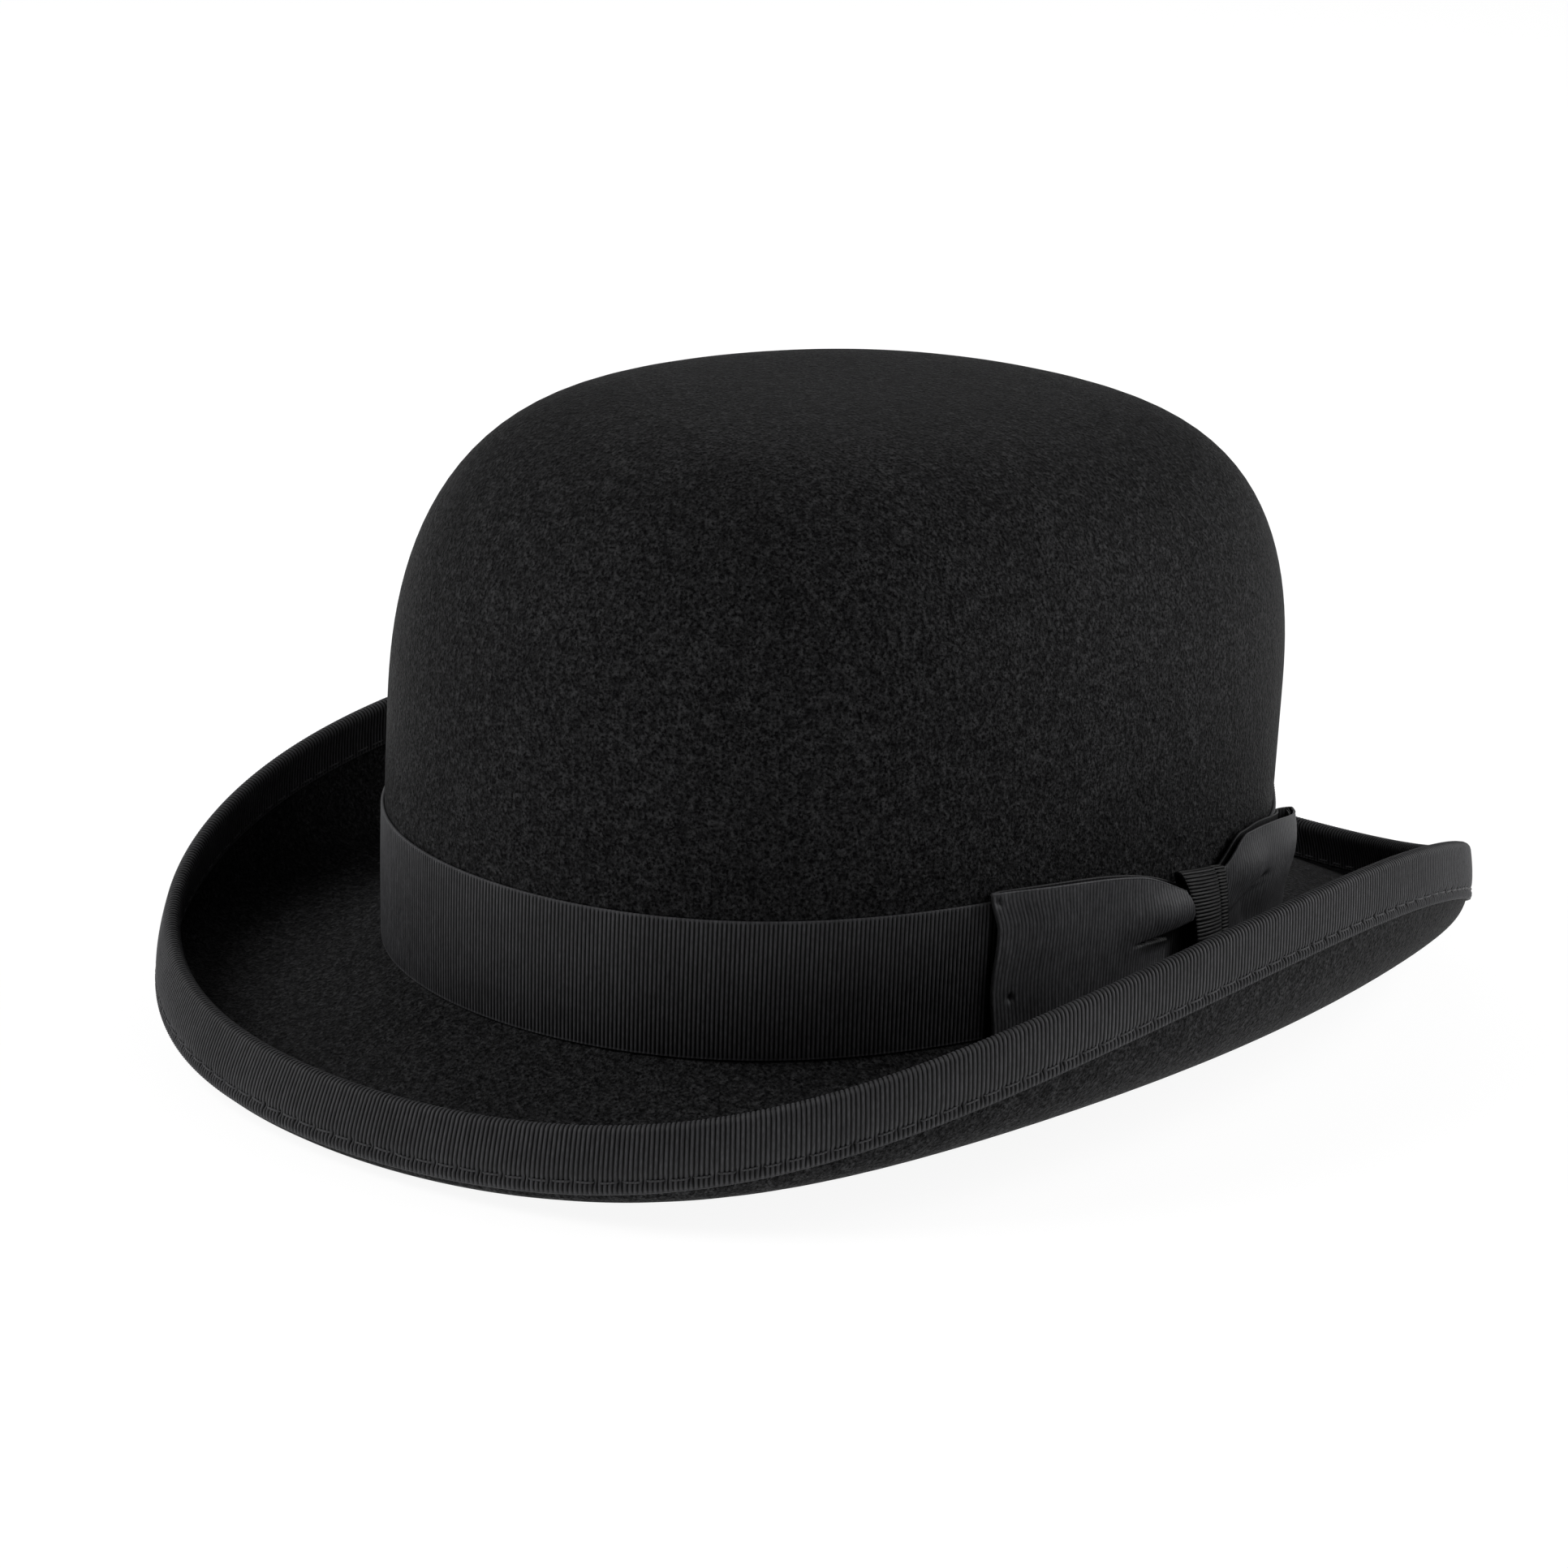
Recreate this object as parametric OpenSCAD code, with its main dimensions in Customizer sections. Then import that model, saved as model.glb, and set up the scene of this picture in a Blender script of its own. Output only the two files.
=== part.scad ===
// Bowler hat: a stiff fur felt hood with a curled brim, a grosgrain band and bow,
// a bound rim, a reeded leather sweatband and a satin lining.
// +Z is up, the front is towards -Y, and the wearer's left is +X.
// Angles round the hat run from 0 at the front, through 90 at the wearer's left, to 180 at the back.

/* [Crown] */
// Half length of the crown's base, front to back
crown_half_l = 105.5; // [98:0.5:112]
// Half width of the crown's base
crown_half_w = 87; // [82:0.5:92]
// Height of the crown above its base
crown_h = 122; // [110:0.5:135]
// Height at which the straight wall turns into the dome
wall_h = 53; // [45:1:65]
// Fullness of the dome seen from above: 2 is an ellipse, more is fuller
dome_fullness = 4.1; // [3:0.1:5]
// Flatness of the top: 2 is an ellipse, more is flatter
dome_flatness = 2.45; // [2:0.05:3]
// How much wider the wall is at its top than at its base, as a share
wall_bulge = 0.007; // [0:0.001:0.02]
// How far the top of the crown leans back
crown_lean = 6; // [0:0.5:10]
// Slope at which the top falls towards the back
crown_fall = 0.05; // [0:0.005:0.08]
// How square the head oval is, as a share of its half axes
oval_squareness = 0.019; // [0:0.001:0.03]
// Half the height by which the crown's base is higher at the sides
base_wave = 1.1; // [0:0.1:2]
// Thickness of the felt
felt_t = 2.4; // [2:0.1:2.6]

/* [Brim] */
// Half width of the hat over the rim
rim_half_w = 128.5; // [122:0.5:134]
// Half length of the hat over the rim
rim_half_l = 150; // [144:0.5:156]
// How far the rim's middle lies behind the crown's
rim_back = 2.6; // [0:0.1:5]
// Mean height of the rim above the crown's base
rim_mean_z = 13.8; // [10:0.1:18]
// Half the height by which the rim is higher at the sides than at front and back
rim_dip = 18; // [12:0.5:22]
// How much the front of the rim is lower than its back, halved
rim_fall = 1.6; // [0:0.1:3]
// Height of the crown's base above the surface that the hat stands on
stand_h = 17.5; // [15:0.1:20]

/* [Ribbons] */
// Height of the hat band
band_h = 30; // [25:0.5:34]
// Width of the binding on the outer face of the brim; it is a quarter less on the inner face
binding_w = 13; // [9:0.5:16]
// Thickness of the grosgrain ribbon
ribbon_t = 0.45; // [0.3:0.05:0.6]
// Angle round the crown at which the bow's keeper sits
keeper_angle = 103.5; // [95:0.5:110]
// Length of each wing of the bow, from the middle of the keeper
wing_l = 65; // [45:1:66]
// Height of the bow's wings at their ends
wing_h = 33; // [28:0.5:34]
// Width of the keeper along the band
keeper_w = 20; // [14:1:24]

/* [Inside] */
// Height of the leather sweatband
sweatband_h = 55; // [45:1:58]
// Thickness of the sweatband's leather
leather_t = 1; // [0.7:0.1:1.2]
// Diameter of the reed in the sweatband's lower edge
reed_d = 1.2; // [1:0.1:1.4]
// Thickness of the satin, the tape and the clear sheet
satin_t = 0.3; // [0.2:0.05:0.35]

/* [Hidden] */

// The colours of the pieces
felt_c = [0.03, 0.03, 0.032];
ribbon_c = [0.05, 0.05, 0.055];
thread_c = [0.08, 0.08, 0.085];
leather_c = [0.09, 0.06, 0.045];
satin_c = [0.07, 0.07, 0.08];

// How finely each shell is divided: round the hat, up the dome and across the brim
round_n = 60;
dome_n = 9;
plate_n = 8;
edge_n = 4;
arc_n = 24;

// Small distances that keep neighbouring pieces apart
skin_gap = 0.05;
ply_gap = 0.15;
// The hat's middle, front to back, lies this far behind the crown's
centre_y = 1.9;

// Brim section: slope at the crown, slope at the rim, and how strongly each one pulls
root_slope = -16.6;
root_slope_side = 4;
root_slope_front = -8;
root_pull = 119.5;
root_pull_side = 5;
rim_slope = 104;
rim_slope_side = 10;
rim_slope_front = 3.5;
rim_pull = 71;
rim_pull_side = 9.2;
// Third harmonics of the rim's plan, and the waves of its height
rim_oval_2 = 3;
rim_oval_3 = 6.7;
rim_wave_3 = 3;
rim_wave_6 = 0.6;

half_t = felt_t / 2;
skin_0 = half_t + skin_gap;
skin_1 = skin_0 + ribbon_t;
root_z = -0.2;
band_z = 1.3;
band_off = ply_gap + ribbon_t;
lap_off = band_off + skin_gap + ribbon_t;

// Radius of the crown's side, which turns a length along it into an angle
side_r = 110;
function side_angle(l) = l / side_r * 180 / PI;

// ---- Shapes of the crown ----

// The head oval at angle a, with half axes of about 1
function oval(a) = [
    sin(a) + oval_squareness * sin(3 * a),
    -cos(a) + oval_squareness * cos(3 * a)
];

// Height of the crown's base at angle a
function base_z(a) = -base_wave * cos(2 * a);

// Width of the crown at height z, as a share of its width at the base
function wall_r(z) = (1 - wall_bulge * pow(max(1 - z / wall_h, 0), 2)) / (1 - wall_bulge);

// Height of the dome, d inside its outer face, at share rho of its width
function dome_z(rho, d) =
    wall_h + (crown_h - d - wall_h) * pow(max(1 - pow(rho, dome_fullness), 0), 1 / dome_flatness);

// A point of the crown at angle a, d inside its outer face, at share r of its width and height z
function crown_pt(a, d, r, z) =
    let (up = pow(max(z, 0) / crown_h, 2),
         y = (crown_half_l - d) * r * oval(a).y + crown_lean * up)
    [(crown_half_w - d) * r * oval(a).x, y, z - crown_fall * y * up];

// A point of the crown's wall at height z
function wall_pt(a, d, z) = crown_pt(a, d, wall_r(z), z);

// A point of the dome: k counts the rings from 0 at the wall to dome_n at the top
function dome_rho(k) = 1 - pow(k / dome_n, 2);
function dome_pt(a, d, k) =
    crown_pt(a, d, dome_rho(k) * wall_r(wall_h), dome_z(dome_rho(k), d));

// ---- Shapes of the brim ----

// The rim at angle a
function rim_pt(a) = [
    rim_half_w * sin(a) + rim_oval_2 * sin(2 * a) + rim_oval_3 * sin(3 * a),
    -rim_half_l * cos(a) + rim_back,
    rim_mean_z - rim_fall * cos(a) - rim_dip * cos(2 * a)
        + rim_wave_3 * cos(3 * a) + rim_wave_6 * cos(6 * a)
];

// The brim's root at angle a, where its middle surface meets the crown's outer face
function root_pt(a) = [crown_half_w * oval(a).x, crown_half_l * oval(a).y, base_z(a) + root_z];

// The brim's middle line at angle a, from 0 at the root to 1 at the rim, as [outwards, up]
function brim_line(a, t) =
    let (d = rim_pt(a) - root_pt(a),
         b = root_slope + root_slope_side * cos(2 * a) + root_slope_front * cos(a),
         e = rim_slope + rim_slope_side * cos(2 * a) + rim_slope_front * cos(a),
         b_pull = root_pull + root_pull_side * cos(2 * a),
         e_pull = rim_pull + rim_pull_side * cos(2 * a))
    (t * t * t - 2 * t * t + t) * b_pull * [cos(b), sin(b)]
        + (3 * t * t - 2 * t * t * t) * [norm([d.x, d.y]), d.z]
        + (t * t * t - t * t) * e_pull * [cos(e), sin(e)];

// Pairs of [length measured back from the rim, place on the line]
function brim_table(a) = [
    for (k = 0, s = 0; k <= arc_n;
         s = s + norm(brim_line(a, 1 - k / arc_n) - brim_line(a, 1 - (k + 1) / arc_n)), k = k + 1)
    [s, 1 - k / arc_n]
];

// A point of the brim at angle a: s is the length back from the rim, and [u, n] its
// place along the line's direction and across it, where n is positive towards the crown
function brim_pt(a, table, s, u, n) =
    let (t = lookup(s, table),
         step = 0.01,
         run = brim_line(a, t + step) - brim_line(a, t - step),
         dir = run / norm(run),
         p = brim_line(a, t) + u * dir + n * [-dir.y, dir.x],
         root = root_pt(a),
         out = [rim_pt(a).x - root.x, rim_pt(a).y - root.y],
         flat = out / norm(out))
    [root.x + p.x * flat.x, root.y + p.x * flat.y, root.z + p.y];

// Length back from the rim of the k-th line across the bound edge
function edge_s(k) = skin_1 + (binding_w - skin_1) * k / edge_n;

// ---- Lofts through rows of points ----

// Triangles between row i and the next, where the rows go round n places and have m points
function quad(a, b, c, d) = [[a, d, c], [a, c, b]];
function grid_faces(n, m, rows_close, points_close) = [
    for (i = [0 : rows_close ? n - 1 : n - 2])
    for (j = [0 : points_close ? m - 1 : m - 2])
    each quad(i * m + j, (i + 1) % n * m + j, (i + 1) % n * m + (j + 1) % m, i * m + (j + 1) % m)
];
function flatten(rows) = [for (row = rows) each row];
function backwards(row) = [for (i = [len(row) - 1 : -1 : 0]) row[i]];

// A ring whose section is a closed outline
module ring(rows) {
    polyhedron(flatten(rows), grid_faces(len(rows), len(rows[0]), true, true));
}

// A strip whose section is a closed outline, with flat ends
module strip(rows) {
    n = len(rows);
    m = len(rows[0]);
    polyhedron(
        flatten(rows),
        concat(
            grid_faces(n, m, false, true),
            [for (j = [1 : m - 2]) [0, j + 1, j]],
            [for (j = [1 : m - 2]) [0, j, j + 1] + (n - 1) * m * [1, 1, 1]]
        )
    );
}

// A shell whose section runs from one point on the hat's axis to another
module shell(rows, start, end) {
    n = len(rows);
    m = len(rows[0]);
    polyhedron(
        concat(flatten(rows), [start, end]),
        concat(
            grid_faces(n, m, true, false),
            [for (i = [0 : n - 1]) [n * m, i * m, (i + 1) % n * m]],
            [for (i = [0 : n - 1]) [i * m + m - 1, n * m + 1, (i + 1) % n * m + m - 1]]
        )
    );
}

function round_angles() = [for (i = [0 : round_n - 1]) 360 * i / round_n];
function span(a0, a1, n) = [for (i = [0 : n]) a0 + (a1 - a0) * i / n];
function ease(t) = let (c = min(max(t, 0), 1)) c * c * (3 - 2 * c);

// One stitch: a bar from p to q, lying on the face whose normal is n
module stitch(p, q, n, w, t) {
    x = (q - p) / norm(q - p);
    across = cross(n, x);
    y = across / norm(across);
    z = cross(x, y);
    multmatrix([
        [x.x, y.x, z.x, p.x],
        [x.y, y.y, z.y, p.y],
        [x.z, y.z, z.z, p.z],
        [0, 0, 0, 1]
    ])
        translate([0, -w / 2, 0])
            cube([norm(q - p), w, t]);
}

// A stitch on the crown's wall, d inside its outer face, that stands out on the side
// given by side: 1 is outwards and -1 is into the hat
module wall_stitch(a0, z0, a1, z1, d, w, t, side) {
    p = wall_pt(a0, d, z0);
    outer = wall_pt(a0, d - 1, z0);
    stitch(p, wall_pt(a1, d, z1), side * (outer - p), w, t);
}

module placed() {
    translate([0, -centre_y, stand_h])
        children();
}

// ---- Felt ----

opening_r = 2;
root_s = 0.4;
wall_n = 2;

// The felt's section at angle a, from the inside of the top, round the rim, to its outside
function felt_row(a) =
    let (table = brim_table(a),
         all_s = table[arc_n][0],
         low = base_z(a) + root_z - half_t,
         bottom = low + opening_r,
         top = base_z(a) + root_z + half_t + 0.15,
         plate = [for (k = [1 : plate_n]) binding_w + (all_s - root_s - binding_w) * k / plate_n],
         edge = [for (k = [0 : edge_n]) edge_s(k)])
    concat(
        [for (k = [dome_n - 1 : -1 : 1]) dome_pt(a, felt_t, k)],
        [for (k = [wall_n : -1 : 0]) wall_pt(a, felt_t, bottom + (wall_h - bottom) * k / wall_n)],
        [for (b = [30 : 30 : 90])
            wall_pt(a, felt_t - opening_r * (1 - cos(b)), bottom - opening_r * sin(b))],
        [for (k = [plate_n - 1 : -1 : 0]) brim_pt(a, table, plate[k], 0, -half_t)],
        [for (k = [edge_n : -1 : 0]) brim_pt(a, table, edge[k], 0, -half_t)],
        [for (b = [-45 : 45 : 45])
            brim_pt(a, table, skin_1, half_t * cos(b), half_t * sin(b))],
        [for (k = [0 : edge_n]) brim_pt(a, table, edge[k], 0, half_t)],
        [for (k = [0 : plate_n - 1]) brim_pt(a, table, plate[k], 0, half_t)],
        [for (k = [0 : wall_n]) wall_pt(a, 0, top + (wall_h - top) * k / wall_n)],
        [for (k = [1 : dome_n - 1]) dome_pt(a, 0, k)]
    );

module felt_body() {
    color(felt_c)
        placed()
            shell(
                [for (a = round_angles()) felt_row(a)],
                dome_pt(0, felt_t, dome_n),
                dome_pt(0, 0, dome_n)
            );
}

// ---- Band and bow ----

lap_start = keeper_angle - 6;
lap_end = keeper_angle + 360 + 8;
ramp_start = lap_start + 360 - 9;
ramp_angle = 6;

// The band is one strip: its last stretch climbs over its first and is sewn to it
module hat_band() {
    // Between its two ends, the strip turns at the same angles as the crown
    step = 360 / round_n;
    first = ceil(lap_start / step) * step;
    color(ribbon_c)
        placed()
            strip([for (a = concat([lap_start], [for (b = [first : step : lap_end - 1]) b], [lap_end]))
                let (lift = (lap_off - band_off) * ease((a - ramp_start) / ramp_angle),
                     low = base_z(a) + band_z)
                [
                    wall_pt(a, -ply_gap - lift, low),
                    wall_pt(a, -band_off - lift, low),
                    wall_pt(a, -band_off - lift, low + band_h),
                    wall_pt(a, -ply_gap - lift, low + band_h)
                ]]);
}

// Hand stitches that close the lap, hidden under the bow
join_n = 7;
join_l = 2.4;
join_w = 0.5;
thread_t = 0.25;
module band_join_stitches() {
    a = keeper_angle + 5;
    color(thread_c)
        placed()
            for (i = [0 : join_n - 1]) {
                z = band_z + band_h * (i + 0.7) / (join_n + 0.4);
                wall_stitch(a, z, a + side_angle(join_l), z, -lap_off - skin_gap, join_w, thread_t, 1);
            }
}

// The bow's ribbon lies flat at the ends of its wings, swells, and is pinched at the keeper
bow_back = lap_off + thread_t + ply_gap;
wing_t = 1.3;
puff = 3.2;
waist_t = 2.4;
waist_h = 21;
waist_z = 4.6;
bow_n = 22;
keeper_back = bow_back + skin_gap;
waist_back = keeper_back + ribbon_t + ply_gap;
wing_angle = side_angle(wing_l);
keeper_half = side_angle(keeper_w / 2);

// Share of the way from the keeper's edge, 0, to the wing's end, 1
function wing_share(a) =
    (abs(a - keeper_angle) - keeper_half) / (wing_angle - keeper_half);

function bow_row(a) =
    let (s = wing_share(a),
         open = ease(s * 1.6),
         low = base_z(a) + waist_z + (band_z + 0.4 - waist_z) * open,
         tall = waist_h + (wing_h - waist_h) * open,
         back = waist_back + (bow_back - waist_back) * ease(s * 4),
         swell = puff * ease(s * 3) * ease((1 - s) * 1.6),
         front = back + waist_t + (wing_t - waist_t) * open)
    [
        wall_pt(a, -back, low),
        for (v = [0 : 0.25 : 1]) wall_pt(a, -front - swell * sin(180 * v), low + tall * v),
        wall_pt(a, -back, low + tall)
    ];

module bow_ribbon() {
    color(ribbon_c)
        placed()
            strip([for (a = span(keeper_angle - wing_angle, keeper_angle + wing_angle, bow_n)) bow_row(a)]);
}

// The keeper is a short loop of ribbon round the pinched middle of the bow
keeper_front = waist_back + waist_t + ply_gap;
keeper_n = 16;
keeper_corner = 4;
module bow_keeper() {
    mid_z = waist_z + waist_h / 2;
    // Half height of the loop's inner face, and how far its faces stand off the crown
    half_h = waist_h / 2 + ply_gap * 2;
    mid_off = (keeper_back + ribbon_t + keeper_front) / 2;
    half_off = (keeper_front - keeper_back - ribbon_t) / 2;
    color(ribbon_c)
        placed()
            ring([for (i = [0 : keeper_n - 1])
                let (b = 360 * i / keeper_n,
                     c = sign(round(cos(b) * 1000)) * pow(abs(cos(b)), 2 / keeper_corner),
                     s = sign(round(sin(b) * 1000)) * pow(abs(sin(b)), 2 / keeper_corner),
                     out = [mid_off + half_off * c, mid_off + (half_off + ribbon_t) * c],
                     up = [mid_z + half_h * s, mid_z + (half_h + ribbon_t) * s])
                [
                    for (a = span(keeper_angle - keeper_half, keeper_angle + keeper_half, 2))
                        wall_pt(a, -out[0], base_z(keeper_angle) + up[0]),
                    for (a = span(keeper_angle + keeper_half, keeper_angle - keeper_half, 2))
                        wall_pt(a, -out[1], base_z(keeper_angle) + up[1])
                ]]);
}

// Short tacks through the ends of the wings
tack_l = 1.6;
tack_w = 0.5;
tack_inset = 4;
module bow_tack_stitches() {
    low = band_z + 8;
    high = band_z + wing_h - 2.4;
    color(thread_c)
        placed()
            for (end = [-1, 1], z = [low, high]) {
                a = keeper_angle + end * (wing_angle - side_angle(tack_inset));
                // The stitch rests on the highest face of the wing at that end
                off = bow_back + wing_t + puff * ease(side_angle(tack_inset) / wing_angle * 2.2) + ply_gap;
                wall_stitch(a, z, a + side_angle(tack_l), z, -off, tack_w, thread_t, 1);
            }
}

// ---- Binding ----

// The binding's path round the rim, off the felt's middle surface by n
function binding_path(a, table, n) = concat(
    [for (k = [edge_n : -1 : 0]) brim_pt(a, table, edge_s(k), 0, -n)],
    [for (b = [-45 : 45 : 45]) brim_pt(a, table, skin_1, n * cos(b), n * sin(b))],
    [for (k = [0 : edge_n - 1]) brim_pt(a, table, edge_s(k), 0, n)]
);

module brim_binding() {
    color(ribbon_c)
        placed()
            ring([for (a = round_angles())
                let (table = brim_table(a))
                concat(binding_path(a, table, skin_1), backwards(binding_path(a, table, skin_0)))]);
}

// The lockstitch that holds the binding, a little above its lower edge
stitch_n = 186;
stitch_inset = 2.3;
stitch_share = 0.7;
stitch_w = 0.45;
stitch_t = 0.1;
module binding_stitches() {
    pitch = 360 / stitch_n;
    s = binding_w - stitch_inset;
    off = -skin_1 - skin_gap / 2;
    color(thread_c)
        placed()
            for (i = [0 : stitch_n - 1]) {
                a = pitch * i;
                b = a + pitch * stitch_share;
                p = brim_pt(a, brim_table(a), s, 0, off);
                q = brim_pt(b, brim_table(b), s, 0, off);
                stitch(p, q, brim_pt(a, brim_table(a), s, 0, off - 1) - p, stitch_w, stitch_t);
            }
}

// ---- Sweatband ----

// The tape's two legs stand between the felt and the leather
leg_0 = felt_t + ply_gap;
leg_1 = leg_0 + satin_t + 0.1;
leg_top = 6;
leather_out = leg_1 + satin_t + 0.1;
leather_in = leather_out + leather_t;
leather_z = 0.7;
leather_lean = 0.8;
leather_n = 4;
// A flat facet of the leather stands this far in from its true curve, and a bit more
facet_gap = 0.2;

// How far inside the crown's outer face a face of the leather lies at height z: it leans in
function leather_d(face, z) = face + leather_lean * max(z, 0) / sweatband_h;
function leather_pt(a, face, z) = wall_pt(a, leather_d(face, z), z);

module sweatband_leather() {
    heights = span(leather_z, leather_z + sweatband_h, leather_n);
    color(leather_c)
        placed()
            ring([for (a = round_angles())
                concat(
                    [for (z = heights) leather_pt(a, leather_out, base_z(a) + z)],
                    [for (z = backwards(heights)) leather_pt(a, leather_in, base_z(a) + z)]
                )]);
}

// The reed is a thin round cord, and the tape is folded round it
reed_z = -0.6;
reed_depth = leather_out + 0.1;
tape_r = reed_d / 2 + 0.15;
tape_n = 6;

module sweatband_reed() {
    color("dimgray")
        placed()
            ring([for (a = round_angles())
                [for (b = [0 : 60 : 300])
                    wall_pt(
                        a,
                        reed_depth - reed_d / 2 * cos(b),
                        base_z(a) + reed_z + reed_d / 2 * sin(b)
                    )]]);
}

// One face of the tape: down one leg, round the reed and up the other, as [depth, height]
function tape_face(d0, d1, r) = concat(
    [[d0, leg_top]],
    [for (b = span(acos((d0 - reed_depth) / r), 360 + acos((d1 - reed_depth) / r), tape_n))
        [reed_depth + r * cos(b), reed_z + r * sin(b)]],
    [[d1, leg_top]]
);

module sweatband_reed_tape() {
    inner = tape_face(leg_0 + satin_t, leg_1, tape_r);
    outer = tape_face(leg_0, leg_1 + satin_t, tape_r + satin_t);
    color(ribbon_c)
        placed()
            ring([for (a = round_angles())
                [for (p = concat(inner, backwards(outer))) wall_pt(a, p[0], base_z(a) + p[1])]]);
}

// The row of stitches that holds the leather to the tape
reed_stitch_n = 140;
reed_stitch_z = 3.2;
reed_stitch_t = 0.2;
module reed_stitches() {
    pitch = 360 / reed_stitch_n;
    color(thread_c)
        placed()
            for (i = [0 : reed_stitch_n - 1]) {
                a = pitch * i;
                z = base_z(a) + reed_stitch_z;
                d = leather_d(leather_in, z) + facet_gap;
                wall_stitch(a, z, a + pitch * stitch_share, z, d, stitch_w, reed_stitch_t, -1);
            }
}

// The zigzag that closes the leather at the back, above its little bow
seam_n = 14;
seam_low = 22;
seam_pitch = 2.2;
seam_half_angle = 0.8;
module sweatband_seam_stitches() {
    color(thread_c)
        placed()
            for (i = [0 : seam_n - 1]) {
                side = i % 2 == 0 ? 1 : -1;
                z = seam_low + seam_pitch * i;
                d = leather_d(leather_in, z) + facet_gap;
                wall_stitch(
                    180 - side * seam_half_angle, z,
                    180 + side * seam_half_angle, z + seam_pitch * stitch_share,
                    d, stitch_w, reed_stitch_t, -1
                );
            }
}

// A little ribbon bow that covers the foot of the back seam
back_bow_z = 13;
back_bow_half = 8;
back_bow_h = 9;
back_knot_h = 3.6;
back_bow_n = 16;
back_bow_t = 1.1;
back_knot_t = 2.2;
module sweatband_bow() {
    color(ribbon_c)
        placed()
            strip([for (i = [0 : back_bow_n])
                let (t = 2 * i / back_bow_n - 1,
                     a = 180 + back_bow_half * t,
                     knot = abs(t) < 0.15,
                     h = back_knot_h + (back_bow_h - back_knot_h) * ease(abs(t) * 1.3),
                     low = back_bow_z - h / 2,
                     back = leather_in + facet_gap,
                     front = back + (knot ? back_knot_t : back_bow_t))
                [
                    leather_pt(a, back, low),
                    leather_pt(a, back, low + h),
                    leather_pt(a, front, low + h - 0.4),
                    leather_pt(a, front + 0.4, low + h / 2),
                    leather_pt(a, front, low + 0.4)
                ]]);
}

// A blank paper ticket on the leather, beside the back seam
ticket_angle = 208;
ticket_half = 8;
ticket_low = 24;
ticket_h = 15;
ticket_t = 0.15;
module size_ticket() {
    color("ivory")
        placed()
            strip([for (a = span(ticket_angle - ticket_half, ticket_angle + ticket_half, 4))
                [
                    leather_pt(a, leather_in + facet_gap, ticket_low),
                    leather_pt(a, leather_in + facet_gap, ticket_low + ticket_h),
                    leather_pt(a, leather_in + facet_gap + ticket_t, ticket_low + ticket_h),
                    leather_pt(a, leather_in + facet_gap + ticket_t, ticket_low)
                ]]);
}

// ---- Lining ----

// The side runs from behind the leather up to the dome's ring tip_k, where the tip begins
lining_low = 22;
lining_out = felt_t + 0.2;
lining_slack = 0.9;
tip_k = 5;
tip_out = lining_out + lining_slack + satin_t + 0.2;
tip_sag = 3;
clear_gap = 0.5;

function side_face(a, d) =
    let (n = wall_n + tip_k)
    [for (j = [0 : n])
        let (depth = d + lining_slack * j / n)
        j <= wall_n
            ? wall_pt(a, depth, lining_low + (wall_h - lining_low) * j / wall_n)
            : dome_pt(a, depth, j - wall_n)];

module lining_side() {
    color(satin_c)
        placed()
            ring([for (a = round_angles())
                concat(side_face(a, lining_out), backwards(side_face(a, lining_out + satin_t)))]);
}

// How far below the crown's outer face the tip hangs, at share rho of the crown's width
function tip_depth(rho) = tip_out + tip_sag * (dome_rho(tip_k) - rho);
function dome_at(a, d, rho) = crown_pt(a, d, rho * wall_r(wall_h), dome_z(rho, d));

module lining_tip() {
    rings = [for (k = [tip_k : dome_n - 1]) dome_rho(k)];
    color(satin_c)
        placed()
            shell(
                [for (a = round_angles())
                    concat(
                        [for (rho = backwards(rings)) dome_at(a, tip_depth(rho) + satin_t, rho)],
                        [for (rho = rings) dome_at(a, tip_depth(rho), rho)]
                    )],
                dome_at(0, tip_depth(0) + satin_t, 0),
                dome_at(0, tip_depth(0), 0)
            );
}

// The piped cord that covers the seam between the side and the tip
piping_r = 0.8;
module lining_piping() {
    depth = tip_out + satin_t + ply_gap + piping_r;
    color(satin_c)
        placed()
            ring([for (a = round_angles())
                [for (b = [0 : 60 : 300])
                    dome_at(a, depth, dome_rho(tip_k))
                        + piping_r * [cos(b) * sin(a), -cos(b) * cos(a), sin(b)]]]);
}

// A clear diamond-shaped sheet that keeps the tip clean
clear_half = 0.52;
clear_shape = 1.25;
clear_n = 3;
module lining_tip_protector() {
    function edge(a) = clear_half
        / pow(pow(abs(sin(a)), clear_shape) + pow(abs(cos(a)), clear_shape), 1 / clear_shape);
    function sheet(a, d, rho) = dome_at(a, tip_depth(rho) + satin_t + clear_gap + d, rho);
    shares = [for (k = [1 : clear_n]) k / clear_n];
    color([0.8, 0.85, 0.9, 0.4])
        placed()
            shell(
                [for (a = round_angles())
                    concat(
                        [for (s = shares) sheet(a, satin_t, s * edge(a))],
                        [for (s = backwards(shares)) sheet(a, 0, s * edge(a))]
                    )],
                sheet(0, satin_t, 0),
                sheet(0, 0, 0)
            );
}

felt_body();
hat_band();
band_join_stitches();
bow_ribbon();
bow_keeper();
bow_tack_stitches();
brim_binding();
binding_stitches();
sweatband_leather();
sweatband_reed();
sweatband_reed_tape();
reed_stitches();
sweatband_seam_stitches();
sweatband_bow();
size_ticket();
lining_side();
lining_tip();
lining_piping();
lining_tip_protector();
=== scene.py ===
"""Looks of the bowler hat: felt, ribbons, stitching, leather and lining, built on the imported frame.

Metres throughout. Angles round the hat run from 0 at the front through 90 at the wearer's left
to 180 at the back; functions take them in radians. A depth d counts inwards from the crown's face.
"""

import math

import bpy
import numpy as np
from mathutils import Matrix, Vector


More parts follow.
